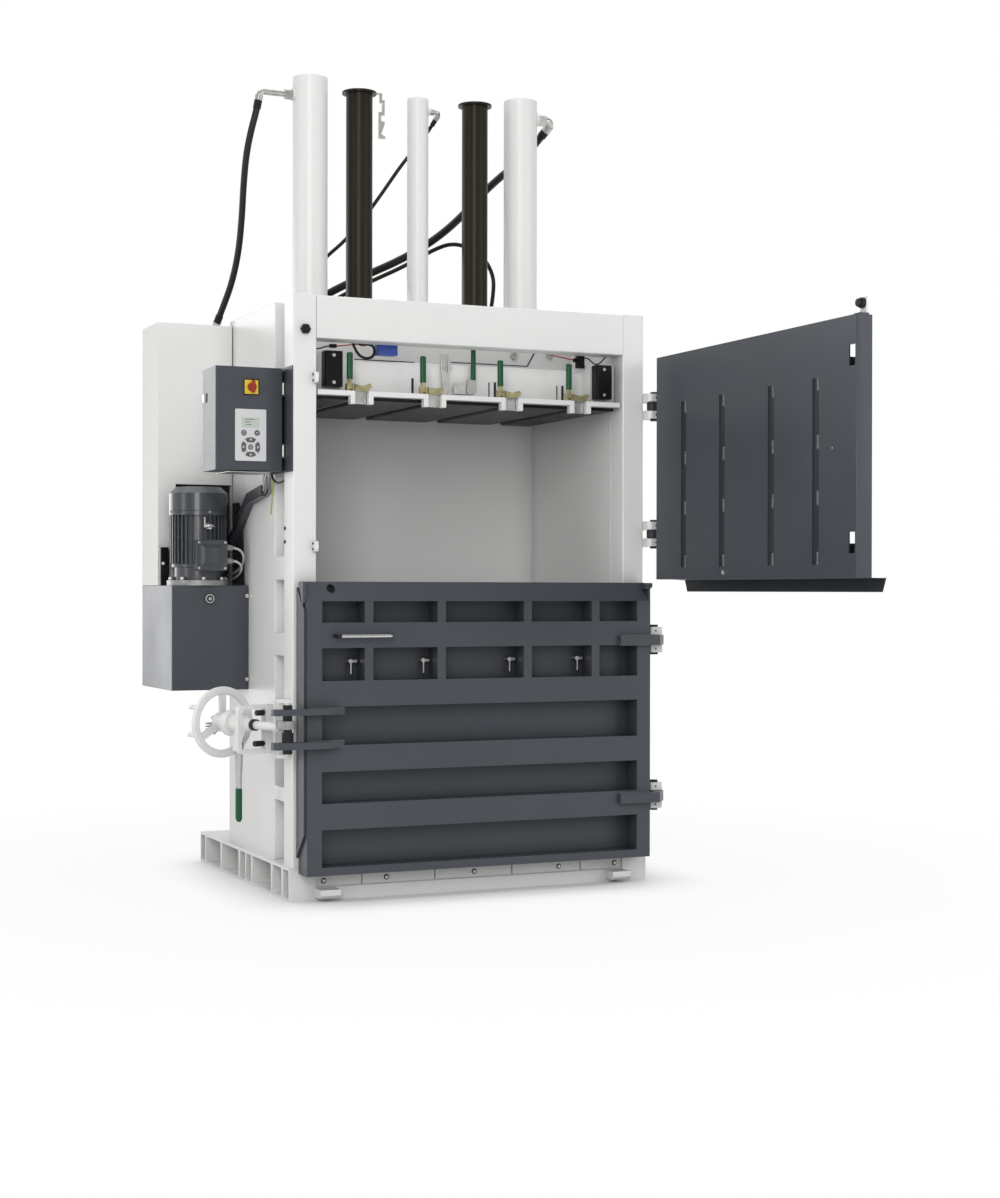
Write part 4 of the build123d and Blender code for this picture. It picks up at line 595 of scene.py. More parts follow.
# thin cables, in millimetres: behind the crossbeam, under the cabinet and at the motor
thinCables = {
    "signalCableLeft": {"diameter": 4.5, "finish": "redCable", "lay": "taut", "points": [
        (-487, -447.5, 1929), (-433, -447.5, 1936.5), (-376, -447.5, 1944.5), (-322, -447.5, 1951)]},
    "signalCableRight": {"diameter": 4.5, "finish": "redCable", "lay": "taut", "points": [
        (289, -447.5, 1949), (341, -447.5, 1942), (394, -447.5, 1934), (447, -447.5, 1926)]},
    "switchCableLeft": {"diameter": 5, "points": [
        (-510, -447.5, 1929), (-527, -447.5, 1926), (-545, -448, 1918), (-562, -449, 1916), (-579, -450, 1923),
        (-592, -451, 1934)]},
    "switchCableRight": {"diameter": 5, "points": [
        (486, -444, 1936), (500, -444, 1938), (514, -444, 1930), (526, -444, 1919), (540, -444, 1914),
        (555, -444, 1919), (567, -445, 1932), (580, -447, 1944)]},
    "cabinetCableOne": {"diameter": 7.5, "finish": "paleCable", "points": [
        (-718, -338, 1477.5), (-716.5, -332, 1463), (-708, -312, 1448), (-697, -280, 1436), (-688, -250, 1430),
        (-686, -236.5, 1428)]},
    "cabinetCableTwo": {"diameter": 7.5, "finish": "greyCable", "points": [
        (-708, -340, 1477.5), (-706, -333, 1462), (-699, -312, 1443), (-690, -282, 1429), (-683, -252, 1421),
        (-681, -236.5, 1419)]},
    "cabinetCableThree": {"diameter": 7.5, "finish": "paleCable", "points": [
        (-698.5, -336, 1477.5), (-696.5, -328, 1464), (-690, -309, 1452), (-682, -283, 1444),
        (-676.5, -252, 1438), (-676, -236.5, 1437)]},
    "cabinetCableFour": {"diameter": 7.5, "finish": "greyCable", "points": [
        (-689, -330, 1477.5), (-687, -322, 1463), (-682, -304, 1441), (-677, -280, 1420), (-674, -252, 1411),
        (-673, -236.5, 1410)]},
    "columnCable": {"diameter": 7.5, "points": [
        (-690.5, -346, 1477.5), (-688, -352, 1462), (-684, -370, 1450), (-680, -396, 1446), (-678, -424, 1448),
        (-677.5, -457.5, 1453)]},
    "earthWire": {"diameter": 4, "finish": "earthCable", "points": [
        (-680, -326, 1477.5), (-678, -322, 1456), (-675, -308, 1430), (-672, -292, 1398), (-670.5, -281, 1366),
        (-670.5, -276, 1341)]},
    "motorCableOne": {"diameter": 8.5, "finish": "paleCable", "points": [
        (-744, -21, 1225), (-726, -21, 1224.5), (-708, -18, 1218), (-693, -10, 1204), (-685, 8, 1184),
        (-682, 36, 1166), (-683, 72, 1150), (-685, 110, 1138), (-688, 150, 1130), (-690, 196, 1126)]},
    "motorCableTwo": {"diameter": 8.5, "finish": "paleCable", "points": [
        (-744, -21, 1177), (-728, -21, 1176.5), (-712, -17, 1171), (-699, -7, 1160), (-692, 13, 1146),
        (-690, 42, 1132), (-690, 78, 1121), (-691, 114, 1114), (-692, 150, 1110), (-693, 196, 1109)]},
}


def inMetres(points):
    return [tuple(number / 1000 for number in point) for point in points]


def makeCurve(name, points):
    data = bpy.data.curves.new(name, "CURVE")
    data.dimensions = "3D"
    spline = data.splines.new("NURBS")
    spline.points.add(len(points) - 1)
    for point, place in zip(spline.points, points):
        point.co = (*place, 1.0)
    spline.order_u = 3
    spline.use_endpoint_u = True
    spline.resolution_u = 10
    return data


def readSpline(points):
    line = linked(bpy.data.objects.new("measure", makeCurve("measure", points)))
    mesh = evaluatedMesh(line)
    places = [vertex.co.copy() for vertex in mesh.vertices]
    bpy.data.objects.remove(line)
    bpy.data.meshes.remove(mesh)
    return places


def lengthAlong(places):
    return sum((after - before).length for before, after in zip(places, places[1:]))


def makeCord(name, s, replaced=None):
    points, diameter = inMetres(s["points"]), s["diameter"] / 1000
    one = s.get("finish", "blackRubber")
    data = makeCurve(name, points)
    data.bevel_depth = diameter / 2
    data.bevel_resolution = 6
    data.use_fill_caps = True
    data.materials.append(finish[one])
    cord = linked(bpy.data.objects.new(name, data))
    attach(cord, "frame")
    if replaced:
        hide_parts(replaced)
    lengthAlong(readSpline(points))


for name, s in hoses.items():
    makeCord(name + "_tube", s, replaced=name)
for name, s in thinCables.items():
    makeCord(name, s)
print("hoses and cables laid:", len(hoses) + len(thinCables))


# geometry node trees for what repeats: screw heads on points, weld beads and ripples along lines
def startGrowth(name, inputs):
    return startTree("GeometryNodeTree", name, {"Geometry": "Geometry", **inputs, "Finish": "Material"},
                     {"Geometry": "Geometry"})


def endGrowth(tree, geometry, start, end):
    realized = addNode(tree, "GeometryNodeRealizeInstances", {"Geometry": geometry})
    painted = addNode(tree, "GeometryNodeSetMaterial", {"Geometry": realized, "Material": start["Finish"]})
    feedInput(tree, end["Geometry"], painted)
    return tree


def moveUp(tree, geometry, rise):
    return addNode(tree, "GeometryNodeTransform", {
        "Geometry": geometry, "Translation": addNode(tree, "ShaderNodeCombineXYZ", {"Z": rise})})


# a head is a ring with rounded edges round a sunk socket, made by a profile along a circle
def buildHeadTree():
    tree, start, end = startGrowth("screwHeads", {"Radius": 0.006, "Height": 0.004, "Socket Share": 0.5, "Sides": 20})
    radius, height = start["Radius"], start["Height"]
    wall = times(tree, radius, minus(tree, 1.0, start["Socket Share"]))
    profile = addNode(tree, "GeometryNodeCurvePrimitiveQuadrilateral", {"Width": wall, "Height": height})
    rounded = addNode(tree, "GeometryNodeFilletCurve", {
        "Curve": profile, "Count": 2, "Radius": times(tree, height, 0.22)}, mode="POLY")
    ring = addNode(tree, "GeometryNodeCurvePrimitiveCircle", {
        "Resolution": start["Sides"], "Radius": minus(tree, radius, times(tree, wall, 0.5))})
    swept = addNode(tree, "GeometryNodeCurveToMesh", {"Curve": ring, "Profile Curve": rounded})
    floor = addNode(tree, "GeometryNodeMeshCylinder", {
        "Vertices": 12, "Radius": minus(tree, radius, times(tree, wall, 0.6)), "Depth": times(tree, height, 0.5)})
    head = addNode(tree, "GeometryNodeJoinGeometry", {
        "Geometry": [swept, moveUp(tree, floor, times(tree, height, -0.25))]})
    facing = addNode(tree, "GeometryNodeInputNamedAttribute", {"Name": "facing"}, data_type="FLOAT_VECTOR")
    aim = addNode(tree, "FunctionNodeAlignRotationToVector", {"Vector": facing.outputs["Attribute"]}, axis="Z")
    placed = addNode(tree, "GeometryNodeInstanceOnPoints", {
        "Points": start["Geometry"], "Instance": moveUp(tree, head, times(tree, height, 0.5)), "Rotation": aim})
    return endGrowth(tree, placed, start, end)


# a bead is a row of drops whose sizes vary between these shares
dropSizes = {"Min": 0.82, "Max": 1.12}


def buildBeadTree():
    tree, start, end = startGrowth("weldBead", {"Radius": 0.003, "Pitch": 0.0026, "Seed": 7})
    line = addNode(tree, "GeometryNodeMeshToCurve", {"Mesh": start["Geometry"]})
    spaced = addNode(tree, "GeometryNodeResampleCurve", {"Curve": line, "Length": start["Pitch"]}, mode="LENGTH")
    drop = addNode(tree, "GeometryNodeMeshIcoSphere", {"Subdivisions": 2, "Radius": start["Radius"]})
    size = addNode(tree, "FunctionNodeRandomValue", {"Seed": start["Seed"]}, data_type="FLOAT")
    for socket in size.inputs:
        if socket.type == "VALUE" and socket.name in dropSizes:
            socket.default_value = dropSizes[socket.name]
    share = next(socket for socket in size.outputs if socket.type == "VALUE")
    placed = addNode(tree, "GeometryNodeInstanceOnPoints", {"Points": spaced, "Instance": drop, "Scale": share})
    return endGrowth(tree, placed, start, end)


def buildRippleTree():
    tree, start, end = startGrowth("rippledTube", {"Radius": 0.005, "Pitch": 0.003, "Ripple": 0.14})
    step = makeMath(tree, "DIVIDE", start["Pitch"], 6.0)
    spaced = addNode(tree, "GeometryNodeResampleCurve", {"Curve": start["Geometry"], "Length": step}, mode="LENGTH")
    distance = addNode(tree, "GeometryNodeSplineParameter").outputs["Length"]
    wave = makeMath(tree, "SINE", times(tree, makeMath(tree, "DIVIDE", distance, start["Pitch"]), 2 * math.pi))
    swell = plus(tree, 1.0, times(tree, wave, start["Ripple"]))
    ring = addNode(tree, "GeometryNodeCurvePrimitiveCircle", {"Resolution": 14, "Radius": 1.0})
    swept = addNode(tree, "GeometryNodeCurveToMesh", {
        "Curve": spaced, "Profile Curve": ring, "Scale": times(tree, swell, start["Radius"]), "Fill Caps": True})
    return endGrowth(tree, swept, start, end)


headTree, beadTree, rippleTree = buildHeadTree(), buildBeadTree(), buildRippleTree()


# runs a tree on the source object and leaves a plain mesh on a body
def growPiece(name, source, tree, s):
    modifier = source.modifiers.new("grow", "NODES")
    modifier.node_group = tree
    values = {**{labelOf(key): value for key, value in s.items()}, "Finish": finish[s["finish"]]}
    for socket in tree.interface.items_tree:
        if socket.in_out == "INPUT" and socket.name in values:
            modifier[socket.identifier] = values[socket.name]
    mesh = evaluatedMesh(source)
    bpy.data.objects.remove(source)
    mesh.name = name
    piece = linked(bpy.data.objects.new(name, mesh))
    mesh.shade_smooth()
    mesh.set_sharp_from_angle(angle=math.radians(40.0))
    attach(piece, s["body"])
    return piece


def pointsWithFacing(places):
    mesh = bpy.data.meshes.new("points")
    mesh.from_pydata([place for place, _ in places], [], [])
    facing = mesh.attributes.new("facing", "FLOAT_VECTOR", "POINT")
    for k, (_, toward) in enumerate(places):
        facing.data[k].vector = toward
    return linked(bpy.data.objects.new("points", mesh))


def linesOf(pairs):
    mesh = bpy.data.meshes.new("lines")
    mesh.from_pydata([place for pair in pairs for place in pair],
                     [(2 * k, 2 * k + 1) for k in range(len(pairs))], [])
    return linked(bpy.data.objects.new("lines", mesh))


forward, leftward, upward = (0.0, -1.0, 0.0), (-1.0, 0.0, 0.0), (0.0, 0.0, 1.0)


# places on a level circle
def around(center, radius, level, count, first):
    turns = [math.radians(first) + 2 * math.pi * k / count for k in range(count)]
    return [(center[0] + radius * math.cos(turn), center[1] + radius * math.sin(turn), level) for turn in turns]


def allFacing(toward, places):
    return [(place, toward) for place in places]


motorCenter = (-0.832, 0.1)
hingeLevels = [(0.296, 0.333), (0.872, 0.908), (1.264, 1.296), (1.736, 1.769)]
screwDefaults = {"body": "frame", "finish": "zincSteel"}
screwSets = {
    "slideBlockScrews": {"body": "ram", "radius": 0.0064, "height": 0.006, "places": allFacing(
        forward, [(x, -0.5352, z) for x in (-0.526, 0.526) for z in (1.792, 1.886)])},
    "terminalBoxScrews": {"radius": 0.0046, "height": 0.003, "places": allFacing(
        forward, [(x, -0.0383, z) for x in (-0.867, -0.769) for z in (1.15, 1.244)])},
    "cowlScrews": {"radius": 0.0052, "height": 0.003, "places": list(zip(
        around(motorCenter, 0.1085, 1.356, 4, -83.0), around((0.0, 0.0), 1.0, 0.0, 4, -83.0)))},
    "motorFlangeBolts": {"radius": 0.0078, "height": 0.013, "places": allFacing(
        upward, around(motorCenter, 0.102, 1.1055, 8, -94.0))},
    "columnScrews": {"finish": "blackPaint", "radius": 0.006, "height": 0.004, "places": allFacing(
        leftward, [(-0.6798, -0.471, z) for z in (1.285, 1.238)])},
    "catchScrews": {"finish": "blackPaint", "radius": 0.0042, "height": 0.003, "places": allFacing(
        leftward, [(-0.6098, -0.566, level + rise) for level in (1.221, 1.802) for rise in (-0.01, 0.01)])},
    "flapPanelScrew": {"body": "flap", "radius": 0.0085, "height": 0.006, "places": allFacing(
        leftward, [(0.6932, -1.117, 1.134)])},
    "cylinderFlangeBolts": {"radius": 0.0062, "height": 0.007, "places": allFacing(
        upward, [place for x in (-0.432, 0.432) for place in around((x, 0.0), 0.0755, 2.0815, 8, 22.5)])},
    "flapRivet": {"body": "flap", "radius": 0.004, "height": 0.002, "places": allFacing(
        leftward, [(0.6932, -1.783, 1.521)])},
    "lugScrews": {"finish": "blackPaint", "radius": 0.0034, "height": 0.0012, "places": allFacing(
        forward, [(0.709, -0.6028, level) for low, high in hingeLevels for level in (low - 0.015, high + 0.015)])},
    "pressHeadBolts": {"radius": 0.014, "height": 0.009, "places": allFacing(
        forward, [(0.354, -0.1102, 1.973), (0.507, -0.1102, 1.981)])},
    "bushCollarBolts": {"radius": 0.0036, "height": 0.004, "places": allFacing(
        upward, [place for x in (-0.2375, 0.2375) for place in around((x, 0.0), 0.0585, 2.0695, 6, 30.0)])},
}
for name, s in screwSets.items():
    growPiece(name, pointsWithFacing(s["places"]), headTree, {**screwDefaults, **s})
print("screw heads set:", sum(len(s["places"]) for s in screwSets.values()))

# weld beads along the joints
armLevels = [0.533, 0.557, 0.648, 0.669]
bead = {"body": "frame", "finish": "whitePaint", "pitch": 0.0026, "seed": 7}
weldSets = {
    "columnFootWelds": {"radius": 0.0032, "lines": [
        ((side * 0.597, -0.5565, 0.1175), (side * 0.678, -0.5565, 0.1175)) for side in (-1, 1)] + [
        ((side * 0.6805, -0.553, 0.1175), (side * 0.6805, -0.46, 0.1175)) for side in (-1, 1)]},
    "wallFootWelds": {"radius": 0.003, "lines": [
        ((side * 0.6683, -0.313, 0.1175), (side * 0.6683, 0.238, 0.1175)) for side in (-1, 1)]},
    "hingeLugWelds": {"radius": 0.0026, "lines": [
        ((0.6805, -0.588, level), (0.6805, -0.488, level)) for low, high in hingeLevels
        for level in (low - 0.0295, low - 0.0005, high + 0.0005, high + 0.0295)]},
    # beads on the door and the flap take the lighter weld grey, a painted highlight
    "latchArmWelds": {"body": "door", "finish": "weldGrey", "radius": 0.0026, "lines": [
        ((-0.65, -0.6505, level), (-0.53, -0.6505, level)) for level in armLevels]},
    "hingeArmWelds": {"body": "door", "finish": "weldGrey", "radius": 0.0026, "lines": [
        ((0.535, -0.6505, level), (0.655, -0.6505, level)) for pair in hingeLevels[:2] for level in pair]},
    "flapSeamWelds": {"body": "flap", "finish": "weldGrey", "radius": 0.0058, "lines": [
        ((0.6975, y - 0.0085, level - 0.019), (0.6975, y - 0.0085, level + 0.019))
        for _, y in flapSheet["seams"] for level in (1.173, 1.366, 1.545, 1.731)]},
}
for name, s in weldSets.items():
    growPiece(name, linesOf(s["lines"]), beadTree, {**bead, **s})
print("weld beads laid:", len(weldSets))

# the rippled sleeve that hangs in a loop beside the junction box, in millimetres
sleeve = {"diameter": 9.6, "points": [
    (-420, -449.5, 1955), (-408, -448, 1945), (-388, -444, 1938), (-364, -440, 1944), (-344, -440, 1938),
    (-338.5, -440, 1917), (-346, -440, 1899), (-366, -440, 1892), (-390, -441, 1896), (-408, -444, 1912),
    (-422, -448, 1936), (-430, -450, 1955)]}


def makeSleeve(s):
    points, diameter = inMetres(s["points"]), s["diameter"] / 1000
    path = readSpline(points)
    piece = growPiece("wireSleeve", linked(bpy.data.objects.new("sleeveLine", makeCurve("sleeveLine", points))),
                      rippleTree, {"body": "frame", "finish": "blackRubber", "radius": diameter / 2,
                                   "pitch": 0.0032, "ripple": 0.12})


makeSleeve(sleeve)


def finishPiece(name, work, finishes, body, sharp=35.0):
    bmesh.ops.recalc_face_normals(work, faces=work.faces)
    mesh = bpy.data.meshes.new(name)
    work.to_mesh(mesh)
    work.free()
    piece = linked(bpy.data.objects.new(name, mesh))
    for one in finishes:
        mesh.materials.append(finish[one])
    mesh.shade_smooth()
    mesh.set_sharp_from_angle(angle=math.radians(sharp))
    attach(piece, body)
    return piece


# hose ends: crimped sleeves with ribs, over each end of each hose
ferrule = {"length": 0.03, "wall": 0.0026, "ribs": 4, "rib": 0.0011}


def addFerrule(work, start, toward, radius, s):
    outer = radius + s["wall"]
    profile = [(0.0, radius * 0.9), (0.0005, outer)]
    for k in range(1, s["ribs"] + 1):
        middle = k * s["length"] / (s["ribs"] + 1)
        profile += [(middle - 0.0022, outer), (middle - 0.0012, outer - s["rib"]),
                    (middle + 0.0012, outer - s["rib"]), (middle + 0.0022, outer)]
    profile += [(s["length"] - 0.001, outer), (s["length"], radius * 1.02)]
    addTurned(work, start, toward, profile, sides=28)


def makeFerrules(s):
    work = bmesh.new()
    for hose in hoses.values():
        points = [Vector(point) for point in inMetres(hose["points"])]
        for end, before in ((0, 1), (-1, -2)):
            addFerrule(work, points[end], points[before] - points[end], hose["diameter"] / 2000, s)
    finishPiece("hoseFerrules", work, ["blackPaint"], "frame")


makeFerrules(ferrule)

# keypad: display with three bars, two round keys, four arrow keys round a middle key
keypad = {"front": -0.485, "rise": 0.0014, "ring": (-0.809, 1.5615), "inner": 0.0165, "outer": 0.0335,
          "half": math.radians(36.0), "display": (-0.842, -0.779, 1.628, 1.664),
          "bars": [(1.6565, 0.012, 0.048), (1.6475, 0.01, 0.034), (1.6385, 0.016, 0.036)],
          "tick": [(-0.0046, 0.0002), (-0.0014, -0.0034), (0.0052, 0.003), (0.0038, 0.0044),
                   (-0.0014, -0.0006), (-0.0034, 0.0016)],
          "tip": [(0.0305, 0.0), (0.0235, 0.0052), (0.0235, -0.0052)]}


def onKeypad(x, z, lift=0.0):
    return Vector((x, keypad["front"] - lift, z))


def addKey(work, x, z, radius):
    addTurned(work, onKeypad(x, z), forward,
              [(0.0, radius), (keypad["rise"] * 0.6, radius), (keypad["rise"], radius - 0.0008)], sides=32)


def addRing(work, x, z, inner, outer, lift, index):
    rings = [addCircle(work, onKeypad(x, z, up), Vector((1.0, 0.0, 0.0)), Vector(upward), r, 28)
             for r, up in ((inner, lift - 0.0004), (inner, lift), (outer, lift), (outer, lift - 0.0004))]
    for before, after in zip(rings, rings[1:] + rings[:1]):
        addWall(work, before, after, index)


def makeKeypad(s):
    work = bmesh.new()
    front, rise, half = s["front"], s["rise"], s["half"]
    left, right, low, high = s["display"]
    addBlock(work, (left - 0.002, front - 0.0006, low - 0.002), (right + 0.002, front, high + 0.002), index=2)
    addBlock(work, (left, front - 0.0011, low), (right, front, high), index=1)
    for level, start, end in s["bars"]:
        addBlock(work, (left + start, front - 0.0014, level - 0.0011), (left + end, front - 0.001, level + 0.0011))
    addKey(work, -0.833, 1.61, 0.0098)
    addKey(work, -0.786, 1.611, 0.0098)
    addRing(work, -0.833, 1.61, 0.0036, 0.005, rise + 0.0004, 2)
    addOutline(work, [onKeypad(-0.786 + x, 1.611 + z, rise - 0.0002) for x, z in s["tick"]],
               (0.0, -0.0006, 0.0), index=2)
    x, z = s["ring"]
    addKey(work, x, z, 0.0092)
    addRing(work, x, z, 0.0034, 0.005, rise + 0.0004, 2)
    flat = s["inner"] / math.cos(half)
    for middle in (math.radians(90.0 * quarter) for quarter in range(4)):
        rim = [(s["outer"], middle + half * (k / 8 - 1)) for k in range(17)]
        rim += [(flat, middle + half), (s["inner"], middle), (flat, middle - half)]
        addOutline(work, [onKeypad(x + r * math.cos(turn), z + r * math.sin(turn)) for r, turn in rim],
                   (0.0, -rise, 0.0))
        addOutline(work, [onKeypad(x + a * math.cos(middle) - b * math.sin(middle),
                                   z + a * math.sin(middle) + b * math.cos(middle), rise - 0.0002)
                          for a, b in s["tip"]], (0.0, -0.0006, 0.0), index=2)
    finishPiece("keypadKeys", work, ["keyGrey", "displayGlass", "paleFoil"], "cabinet_cover")


makeKeypad(keypad)

# motor: the eye bolt with its washer and its pin, and the raised lid of the terminal box
motorEye = {"middle": Vector((-0.826, -0.012, 1.3)), "radius": 0.0165, "wire": 0.0048}
terminalLid = [(-0.861, -0.775, 1.156, 1.238, -0.0375), (-0.847, -0.789, 1.17, 1.225, -0.0435)]


def makeMotorEye(s):
    eye, radius = s["middle"], s["radius"]
    work = bmesh.new()
    turns = [2 * math.pi * k / 28 for k in range(29)]
    addRoundBar(work, [eye + Vector((math.cos(turn), -0.92 * (1 + math.sin(turn)), 0.3 * math.sin(turn))) * radius
                       for turn in turns], s["wire"], sides=12)
    addTurned(work, eye + Vector((0.0, 0.022, 0.004)), forward,
              [(0.0, 0.008), (0.014, 0.008), (0.016, 0.012), (0.02, 0.012), (0.022, 0.007)], sides=20)
    addRoundBar(work, [eye + Vector((-0.013, -0.004, rise)) for rise in (0.0, 0.012, 0.024, 0.036)], 0.0036)
    finishPiece("motorEyeBolt", work, ["bareSteel"], "frame")


def makeTerminalLid(rims):
    work = bmesh.new()
    back, front = ([work.verts.new((x, y, z)) for x, z in ((left, low), (right, low), (right, high), (left, high))]
                   for left, right, low, high, y in rims)
    work.faces.new(front)
    addWall(work, back, front)
    finishPiece("terminalLid", work, ["motorPaint"], "frame", sharp=10.0)


makeMotorEye(motorEye)
makeTerminalLid(terminalLid)

# latch: the coil spring behind the wheel, hooked on the end of the spindle
latchSpring = {"axis": (-0.889, -0.261), "low": 0.566, "high": 0.606, "radius": 0.0145, "wire": 0.0023, "turns": 4,
               "stepsPerTurn": 20, "hook": 0.424}


def makeLatchSpring(s):
    work = bmesh.new()
    steps = s["stepsPerTurn"] * s["turns"]
    end = onSpindle(s["hook"])
    x, y = s["axis"]
    coil = []
    for k in range(steps + 1):
        turn = 2 * math.pi * s["turns"] * k / steps
        coil.append(Vector((x + s["radius"] * math.cos(turn), y + s["radius"] * math.sin(turn),
                            s["low"] + (s["high"] - s["low"]) * k / steps)))
    lead = [(end.x, end.y, 0.596), (end.x + 0.004, end.y - 0.002, 0.575), coil[0] - Vector((0.0, 0.003, 0.004))]
    tail = [coil[-1] + Vector((0.0, 0.004, 0.004)), (x + 0.006, y, 0.621), (x + 0.012, y - 0.003, 0.6275),
            (end.x, end.y, 0.618)]
    addRoundBar(work, lead + coil + tail, s["wire"], sides=8)
    finishPiece("latchSpring", work, ["castGrey"], "latch")


makeLatchSpring(latchSpring)

# small pieces: blocks give low, high, ease; outlines give points, reach; turned forms give start, axis,
# profile, sides and the number of their finish
smallPieces = {
    # cabinet: black seat of the main switch, whose black rim round the yellow plate is partly painted shadow, lock at
    # the left edge, its plate and the gland plate below
    "switchSeatAndShadow": {"body": "cabinet_cover", "finishes": ["blackPlastic"], "blocks": [
        ((-0.8335, -0.484, 1.7405), (-0.7785, -0.4815, 1.7955), 0.001)]},
    "cabinetLock": {"body": "cabinet_cover", "finishes": ["blackPlastic"], "blocks": [
        ((-0.9345, -0.374, 1.72), (-0.9315, -0.3445, 1.751), 0.0008)]},
    "cabinetGlands": {"finishes": ["zincSteel"], "blocks": [
        ((-0.9345, -0.3435, 1.7215), (-0.9315, -0.3225, 1.7495), 0.0008),
        ((-0.885, -0.47, 1.476), (-0.735, -0.325, 1.479), 0.0008)], "turned": [
        ((x, -0.337, 1.479), (0.0, 0.0, -1.0), [(0.0, 0.0062), (0.006, 0.0062), (0.009, 0.0045)], 14)
        for x in (-0.718, -0.708, -0.6985, -0.689)]},
    # motor: groove in the cowl, glands of the terminal box, knob of the black block
    "cowlGroove": {"finishes": ["blackPaint"], "turned": [
        ((*motorCenter, 1.3605), upward, [(0.0, 0.1092), (0.0004, 0.1096), (0.0014, 0.1096), (0.0018, 0.1092)], 72)]},
    "terminalGlands": {"finishes": ["greyCable"], "turned": [
        ((-0.76, -0.021, level), (1.0, 0.0, 0.0), [
            (0.0, 0.0108), (0.006, 0.0108), (0.007, 0.0092), (0.009, 0.0092), (0.01, 0.0102), (0.02, 0.0098),
            (0.026, 0.0072), (0.028, 0.005)], 8) for level in (1.225, 1.177)]},
    "valveKnob": {"finishes": ["paleFoil"], "turned": [
        ((-0.946, 0.1722, 1.169), forward, [(0.0, 0.006), (0.003, 0.006), (0.005, 0.004)], 16)]},
    # a black sheet inside the tall cover behind the motor, painted shade for its dark inside, and the plate that
    # leads the duct down the wall
    "coverInsideShade": {"finishes": ["blackPaint"], "blocks": [((-0.948, 0.224, 1.0895), (-0.68, 0.227, 1.478))]},
    "ductPlate": {"finishes": ["motorPaint"], "outlines": [
        (flatAt(0, -0.668, [(0.046, 1.0895), (0.06, 1.25), (0.092, 1.372), (0.118, 1.398), (0.204, 1.398),
                            (0.204, 1.0895)]), (-0.003, 0.0, 0.0))]},
    # inside the opening: limit switch, connectors and blue junction box behind the crossbeam, seams of the head
    "junctionBox": {"finishes": ["bluePlastic"], "blocks": [
        ((-0.33, -0.4585, 1.906), (-0.258, -0.415, 1.954), 0.002)]},
    "connectorLeft": {"finishes": ["blackPlastic"], "blocks": [
        ((-0.511, -0.456, 1.9225), (-0.486, -0.44, 1.9355), 0.002)]},
    "connectorRight": {"finishes": ["blackPlastic"], "blocks": [
        ((0.444, -0.456, 1.9185), (0.462, -0.44, 1.933), 0.002)]},
    "limitSwitch": {"finishes": ["blackPlastic"], "blocks": [
        ((0.459, -0.4585, 1.897), (0.486, -0.43, 1.951), 0.002)]},
    "headSeamLeft": {"finishes": ["blackPaint"], "blocks": [
        ((-0.297, -0.1112, 1.9255), (-0.058, -0.1095, 1.93))]},
    "headSeamRight": {"finishes": ["greyPaint"], "blocks": [((0.089, -0.1112, 1.9345), (0.411, -0.1095, 1.938))]},
    "headSeamEnd": {"finishes": ["greyPaint"], "outlines": [
        (flatAt(1, -0.1095, [(0.409, 1.937), (0.414, 1.935), (0.449, 1.996), (0.444, 1.998)]),
         (0.0, -0.0017, 0.0))]},
    "strapPins": {"body": "ram", "finishes": ["blackPaint"], "blocks": [
        ((x - 0.0032, -0.488, 1.764), (x + 0.0032, -0.48, 1.825), 0.0006) for x in (-0.212, 0.109, 0.381)]},
    # tank: the round cap's dark rim and middle, and its hexagon in zinc
    "tankCapRings": {"finishes": ["blackPaint", "zincSteel"], "turned": [
        ((-0.8175, -0.0002, 1.039), forward, [(0.0, 0.0205), (0.0016, 0.0205), (0.002, 0.0195)], 36),
        ((-0.8175, -0.0096, 1.039), forward, [(0.0, 0.012), (0.001, 0.012), (0.0012, 0.011)], 28),
        ((-0.8175, -0.01, 1.039), forward, [(0.0, 0.0075), (0.004, 0.0075), (0.0055, 0.0055)], 6, 1)]},
    # door: the right end of its sloped top edge
    "doorTopEnd": {"body": "door", "finishes": ["greyPaint"], "outlines": [
        (flatAt(0, 0.652, [(-0.6495, 1.036), (-0.6495, 1.0985), (-0.605, 1.0985)]), (0.008, 0.0, 0.0)),
        (flatAt(1, -0.6498, [(0.64, 1.099), (0.667, 1.099), (0.669, 1.097), (0.669, 1.086), (0.66, 1.0765),
                             (0.64, 1.0765)]), (0.0, 0.045, 0.0))]},
    # flap: the stop buffer, two rubber discs on the side of the bracket
    "flapBuffer": {"body": "flap", "finishes": ["blackRubber"], "replaces": "flap_buffer", "turned": [
        ((0.73, -1.8965, 1.963), leftward, [
            (0.0, 0.015), (0.0015, 0.0165), (0.0125, 0.0165), (0.014, 0.015), (0.0145, 0.0115),
            (0.0165, 0.0115), (0.017, 0.0128), (0.0225, 0.0128), (0.0245, 0.011), (0.025, 0.006)], 36)]},
    # base: black rings round the five bolts of the front tube, painted shade of their sunk seats
    "boltSeatShade": {"finishes": ["blackPaint"], "turned": [
        ((x, -0.5488, 0.066), forward, [(0.0, 0.0098), (0.0008, 0.0098), (0.0012, 0.009)])
        for x in (-0.565, -0.333, 0.002, 0.338, 0.566)]},
}


def makeSmallPiece(name, s):
    work = bmesh.new()
    for tool, key in ((addBlock, "blocks"), (addOutline, "outlines"), (addTurned, "turned")):
        for values in s.get(key, []):
            tool(work, *values)
    piece = finishPiece(name, work, s["finishes"], s.get("body", "frame"))
    if "replaces" in s:
        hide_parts(s["replaces"])


for name, s in smallPieces.items():
    makeSmallPiece(name, s)
print("small pieces made:", len(smallPieces))


